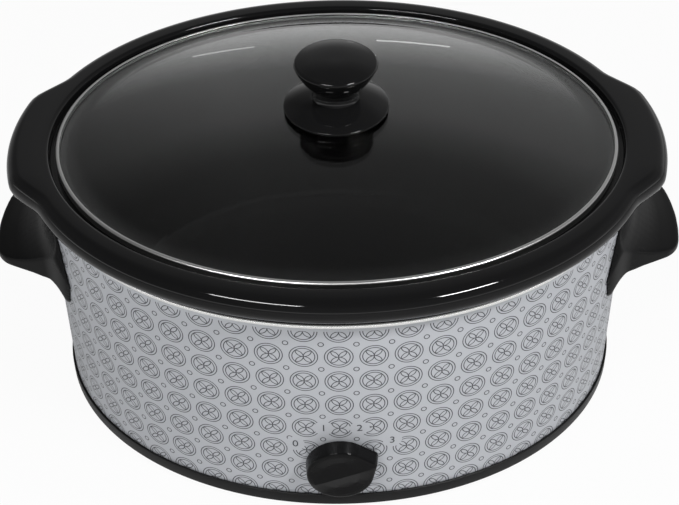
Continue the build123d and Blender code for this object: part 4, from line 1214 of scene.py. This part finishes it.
class COOKER_OT_stage(bpy.types.Operator):
    """Set the floor, the studio light and the camera"""

    bl_idname = "cooker.stage"
    bl_label = "Stage"

    floor_size = 9.0
    eye = (2.8 * MM, -712.7 * MM, 704.6 * MM)
    target = (0, 0, 80.84 * MM)
    roll = -0.014  # radians about the line of sight
    shift = (0.0018, -0.0047)
    front_level = 0.6  # studio's brightness in front of the object, as a share of that behind it
    horizon_level = 2.2  # studio's brightness along the horizon in front
    seen_glow = 0.95  # floor's own white in the camera's view
    mirrored_glow = 0.25  # the same in reflections and through glass
    # Studio's brightness by height, and by place from left to right
    height_levels = ((0.0, 1.0), (0.1, 0.92), (0.35, 0.45), (0.59, 0.42), (0.75, 0.2), (1.0, 0.1))
    side_levels = ((0.0, 0.4), (0.27, 0.42), (0.41, 0.95), (0.6, 1.0), (0.72, 0.95), (1.0, 0.85))
    depth_fade = (-0.5, 0.5)  # from the front's level to the back's
    horizon_fades = (("Z", 0.05, 0.11), ("Y", -0.1, 0.4))  # where the bright horizon runs out
    # Strips: azimuth and elevation from the rim in degrees, distance, width and height
    left_strip = (-29, 50, 1.6, (0.6, 0.1))
    right_strip = (47, 51, 1.6, (0.4, 0.1))
    back_left_strip = (-168.7, 9.8, 1.69, (0.178, 0.018))
    back_right_strip = (172.6, 9.0, 1.69, (0.21, 0.018))
    back_right_share = 2  # power of the right one behind, against the left one's

    def add_floor(self):
        """Pale floor that shows near white to the camera and keeps a soft shadow."""
        bpy.ops.mesh.primitive_plane_add(size=self.floor_size)
        floor = bpy.context.object
        floor.name = "floor"
        material = bpy.data.materials.new("Pale floor")
        material.use_nodes = True
        tree = material.node_tree
        shader = tree.nodes["Principled BSDF"]
        shader.inputs["Base Color"].default_value = (*bpy.context.scene.cooker_stage.floor_colour, 1)
        shader.inputs["Roughness"].default_value = 0.8
        shader.inputs["Specular IOR Level"].default_value = 0
        glow = tree.nodes.new("ShaderNodeEmission")
        path = tree.nodes.new("ShaderNodeLightPath")
        glossy, through = path.outputs["Is Glossy Ray"], path.outputs["Is Transmission Ray"]
        mirrored = math_node(tree, "MAXIMUM", glossy, through)
        mirrored = math_node(tree, "MULTIPLY", mirrored, self.mirrored_glow)
        seen = math_node(tree, "MULTIPLY", path.outputs["Is Camera Ray"], self.seen_glow)
        share = math_node(tree, "MAXIMUM", seen, mirrored)
        mix = tree.nodes.new("ShaderNodeMixShader")
        tree.links.new(share, mix.inputs["Fac"])
        tree.links.new(shader.outputs[0], mix.inputs[1])
        tree.links.new(glow.outputs[0], mix.inputs[2])
        tree.links.new(mix.outputs[0], tree.nodes["Material Output"].inputs["Surface"])
        floor.data.materials.append(material)

    def set_levels(self, ramp, levels):
        """Gives a colour ramp its grey levels by position."""
        while len(ramp.color_ramp.elements) < len(levels):
            ramp.color_ramp.elements.new(0.5)
        for element, (position, level) in zip(ramp.color_ramp.elements, levels):
            element.position = position
            element.color = (level, level, level, 1)

    def add_world(self):
        """Studio that is white to the camera, bright at the horizon, and darker overhead and in front."""
        world = bpy.data.worlds.new("Studio")
        bpy.context.scene.world = world
        world.use_nodes = True
        tree = world.node_tree
        place = tree.nodes.new("ShaderNodeTexCoord")
        parts = tree.nodes.new("ShaderNodeSeparateXYZ")
        tree.links.new(place.outputs["Generated"], parts.inputs[0])
        ramp = tree.nodes.new("ShaderNodeValToRGB")
        self.set_levels(ramp, self.height_levels)
        tree.links.new(parts.outputs["Z"], ramp.inputs["Fac"])
        across = tree.nodes.new("ShaderNodeMapRange")
        tree.links.new(parts.outputs["X"], across.inputs["Value"])
        across.inputs["From Min"].default_value = -1
        sides = tree.nodes.new("ShaderNodeValToRGB")
        tree.links.new(across.outputs["Result"], sides.inputs["Fac"])
        self.set_levels(sides, self.side_levels)
        depth = tree.nodes.new("ShaderNodeMapRange")
        depth.interpolation_type = "SMOOTHSTEP"
        tree.links.new(parts.outputs["Y"], depth.inputs["Value"])
        depth_start, depth_end = self.depth_fade
        depth.inputs["From Min"].default_value = depth_start
        depth.inputs["From Max"].default_value = depth_end
        depth.inputs["To Min"].default_value = self.front_level
        horizon = self.horizon_level
        for axis, start, end in self.horizon_fades:
            fade = tree.nodes.new("ShaderNodeMapRange")
            fade.interpolation_type = "SMOOTHSTEP"
            tree.links.new(parts.outputs[axis], fade.inputs["Value"])
            fade.inputs["From Min"].default_value = start
            fade.inputs["From Max"].default_value = end
            fade.inputs["To Min"].default_value = 1
            fade.inputs["To Max"].default_value = 0
            horizon = math_node(tree, "MULTIPLY", fade.outputs["Result"], horizon)
        path = tree.nodes.new("ShaderNodeLightPath")
        strength = math_node(tree, "MULTIPLY", depth.outputs["Result"], sides.outputs["Color"])
        strength = math_node(tree, "MAXIMUM", strength, horizon)
        strength = math_node(tree, "MAXIMUM", strength, path.outputs["Is Camera Ray"])
        tree.links.new(ramp.outputs["Color"], tree.nodes["Background"].inputs["Color"])
        tree.links.new(strength, tree.nodes["Background"].inputs["Strength"])

    def add_softbox(self, name, azimuth, elevation, distance, size, power):
        """Rectangular lamp aimed at the rim, placed by its direction from there."""
        target = Vector((0, 0, RIM.z))
        around, up = math.radians(azimuth), math.radians(elevation)
        away = Vector((math.sin(around) * math.cos(up), -math.cos(around) * math.cos(up), math.sin(up)))
        turn = away.to_track_quat("Z", "Y").to_euler()
        bpy.ops.object.light_add(type="AREA", location=target + away * distance, rotation=turn)
        lamp = bpy.context.object
        lamp.name = name
        lamp.data.shape = "RECTANGLE"
        lamp.data.size, lamp.data.size_y = size
        lamp.data.energy = power

    def add_camera(self):
        """Camera at the photograph's angle."""
        look = Vector(self.target) - Vector(self.eye)
        turn = look.to_track_quat("-Z", "Y") @ Quaternion((0, 0, 1), self.roll)
        bpy.ops.object.camera_add(location=self.eye, rotation=turn.to_euler())
        camera = bpy.context.object
        camera.data.sensor_width = 36
        camera.data.lens = bpy.context.scene.cooker_stage.lens
        camera.data.shift_x, camera.data.shift_y = self.shift
        bpy.context.scene.camera = camera

    def execute(self, context):
        start_clean()
        settings = context.scene.cooker_stage
        self.add_floor()
        self.add_world()
        back_right_light = self.back_right_share * settings.back_light
        self.add_softbox("left_strip", *self.left_strip, settings.left_light)
        self.add_softbox("right_strip", *self.right_strip, settings.right_light)
        self.add_softbox("back_left_strip", *self.back_left_strip, settings.back_light)
        self.add_softbox("back_right_strip", *self.back_right_strip, back_right_light)
        self.add_camera()
        context.scene.view_settings.view_transform = "Standard"
        return {"FINISHED"}


PIECES = (
    COOKER_OT_crock,
    COOKER_OT_lid,
    COOKER_OT_lid_knob,
    COOKER_OT_wrap,
    COOKER_OT_dial_numbers,
    COOKER_OT_heating_well,
    COOKER_OT_side_handles,
    COOKER_OT_control_knob,
    COOKER_OT_base_parts,
    COOKER_OT_inner_parts,
    COOKER_OT_stage,
)


class COOKER_PT_panel(bpy.types.Panel):
    """Sidebar panel with the settings and the pieces"""

    bl_idname = "COOKER_PT_panel"
    bl_label = "Slow cooker"
    bl_space_type = "VIEW_3D"
    bl_region_type = "UI"
    bl_category = "Cooker"

    def draw(self, context):
        for settings in (sizes(), colours(), context.scene.cooker_stage):
            for name in settings.__annotations__:
                self.layout.prop(settings, name)
        for piece in PIECES:
            self.layout.operator(piece.bl_idname)


CLASSES = (CookerSizes, CookerColours, CookerStage, *PIECES, COOKER_PT_panel)


def register():
    """Registers the classes and hangs the settings on the scene."""
    for cls in CLASSES:
        bpy.utils.register_class(cls)
    bpy.types.Scene.cooker_sizes = PointerProperty(type=CookerSizes)
    bpy.types.Scene.cooker_colours = PointerProperty(type=CookerColours)
    bpy.types.Scene.cooker_stage = PointerProperty(type=CookerStage)


def unregister():
    """Takes the settings off the scene and unregisters the classes."""
    del bpy.types.Scene.cooker_stage
    del bpy.types.Scene.cooker_colours
    del bpy.types.Scene.cooker_sizes
    for cls in reversed(CLASSES):
        bpy.utils.unregister_class(cls)


def main():
    """Registers the add-on, models every piece in order and sets the stage."""
    register()
    bpy.ops.cooker.crock()
    bpy.ops.cooker.lid()
    bpy.ops.cooker.lid_knob()
    bpy.ops.cooker.wrap()
    bpy.ops.cooker.dial_numbers()
    bpy.ops.cooker.heating_well()
    bpy.ops.cooker.side_handles()
    bpy.ops.cooker.control_knob()
    bpy.ops.cooker.base_parts()
    bpy.ops.cooker.inner_parts()
    bpy.ops.cooker.stage()


if __name__ == "__main__":
    main()
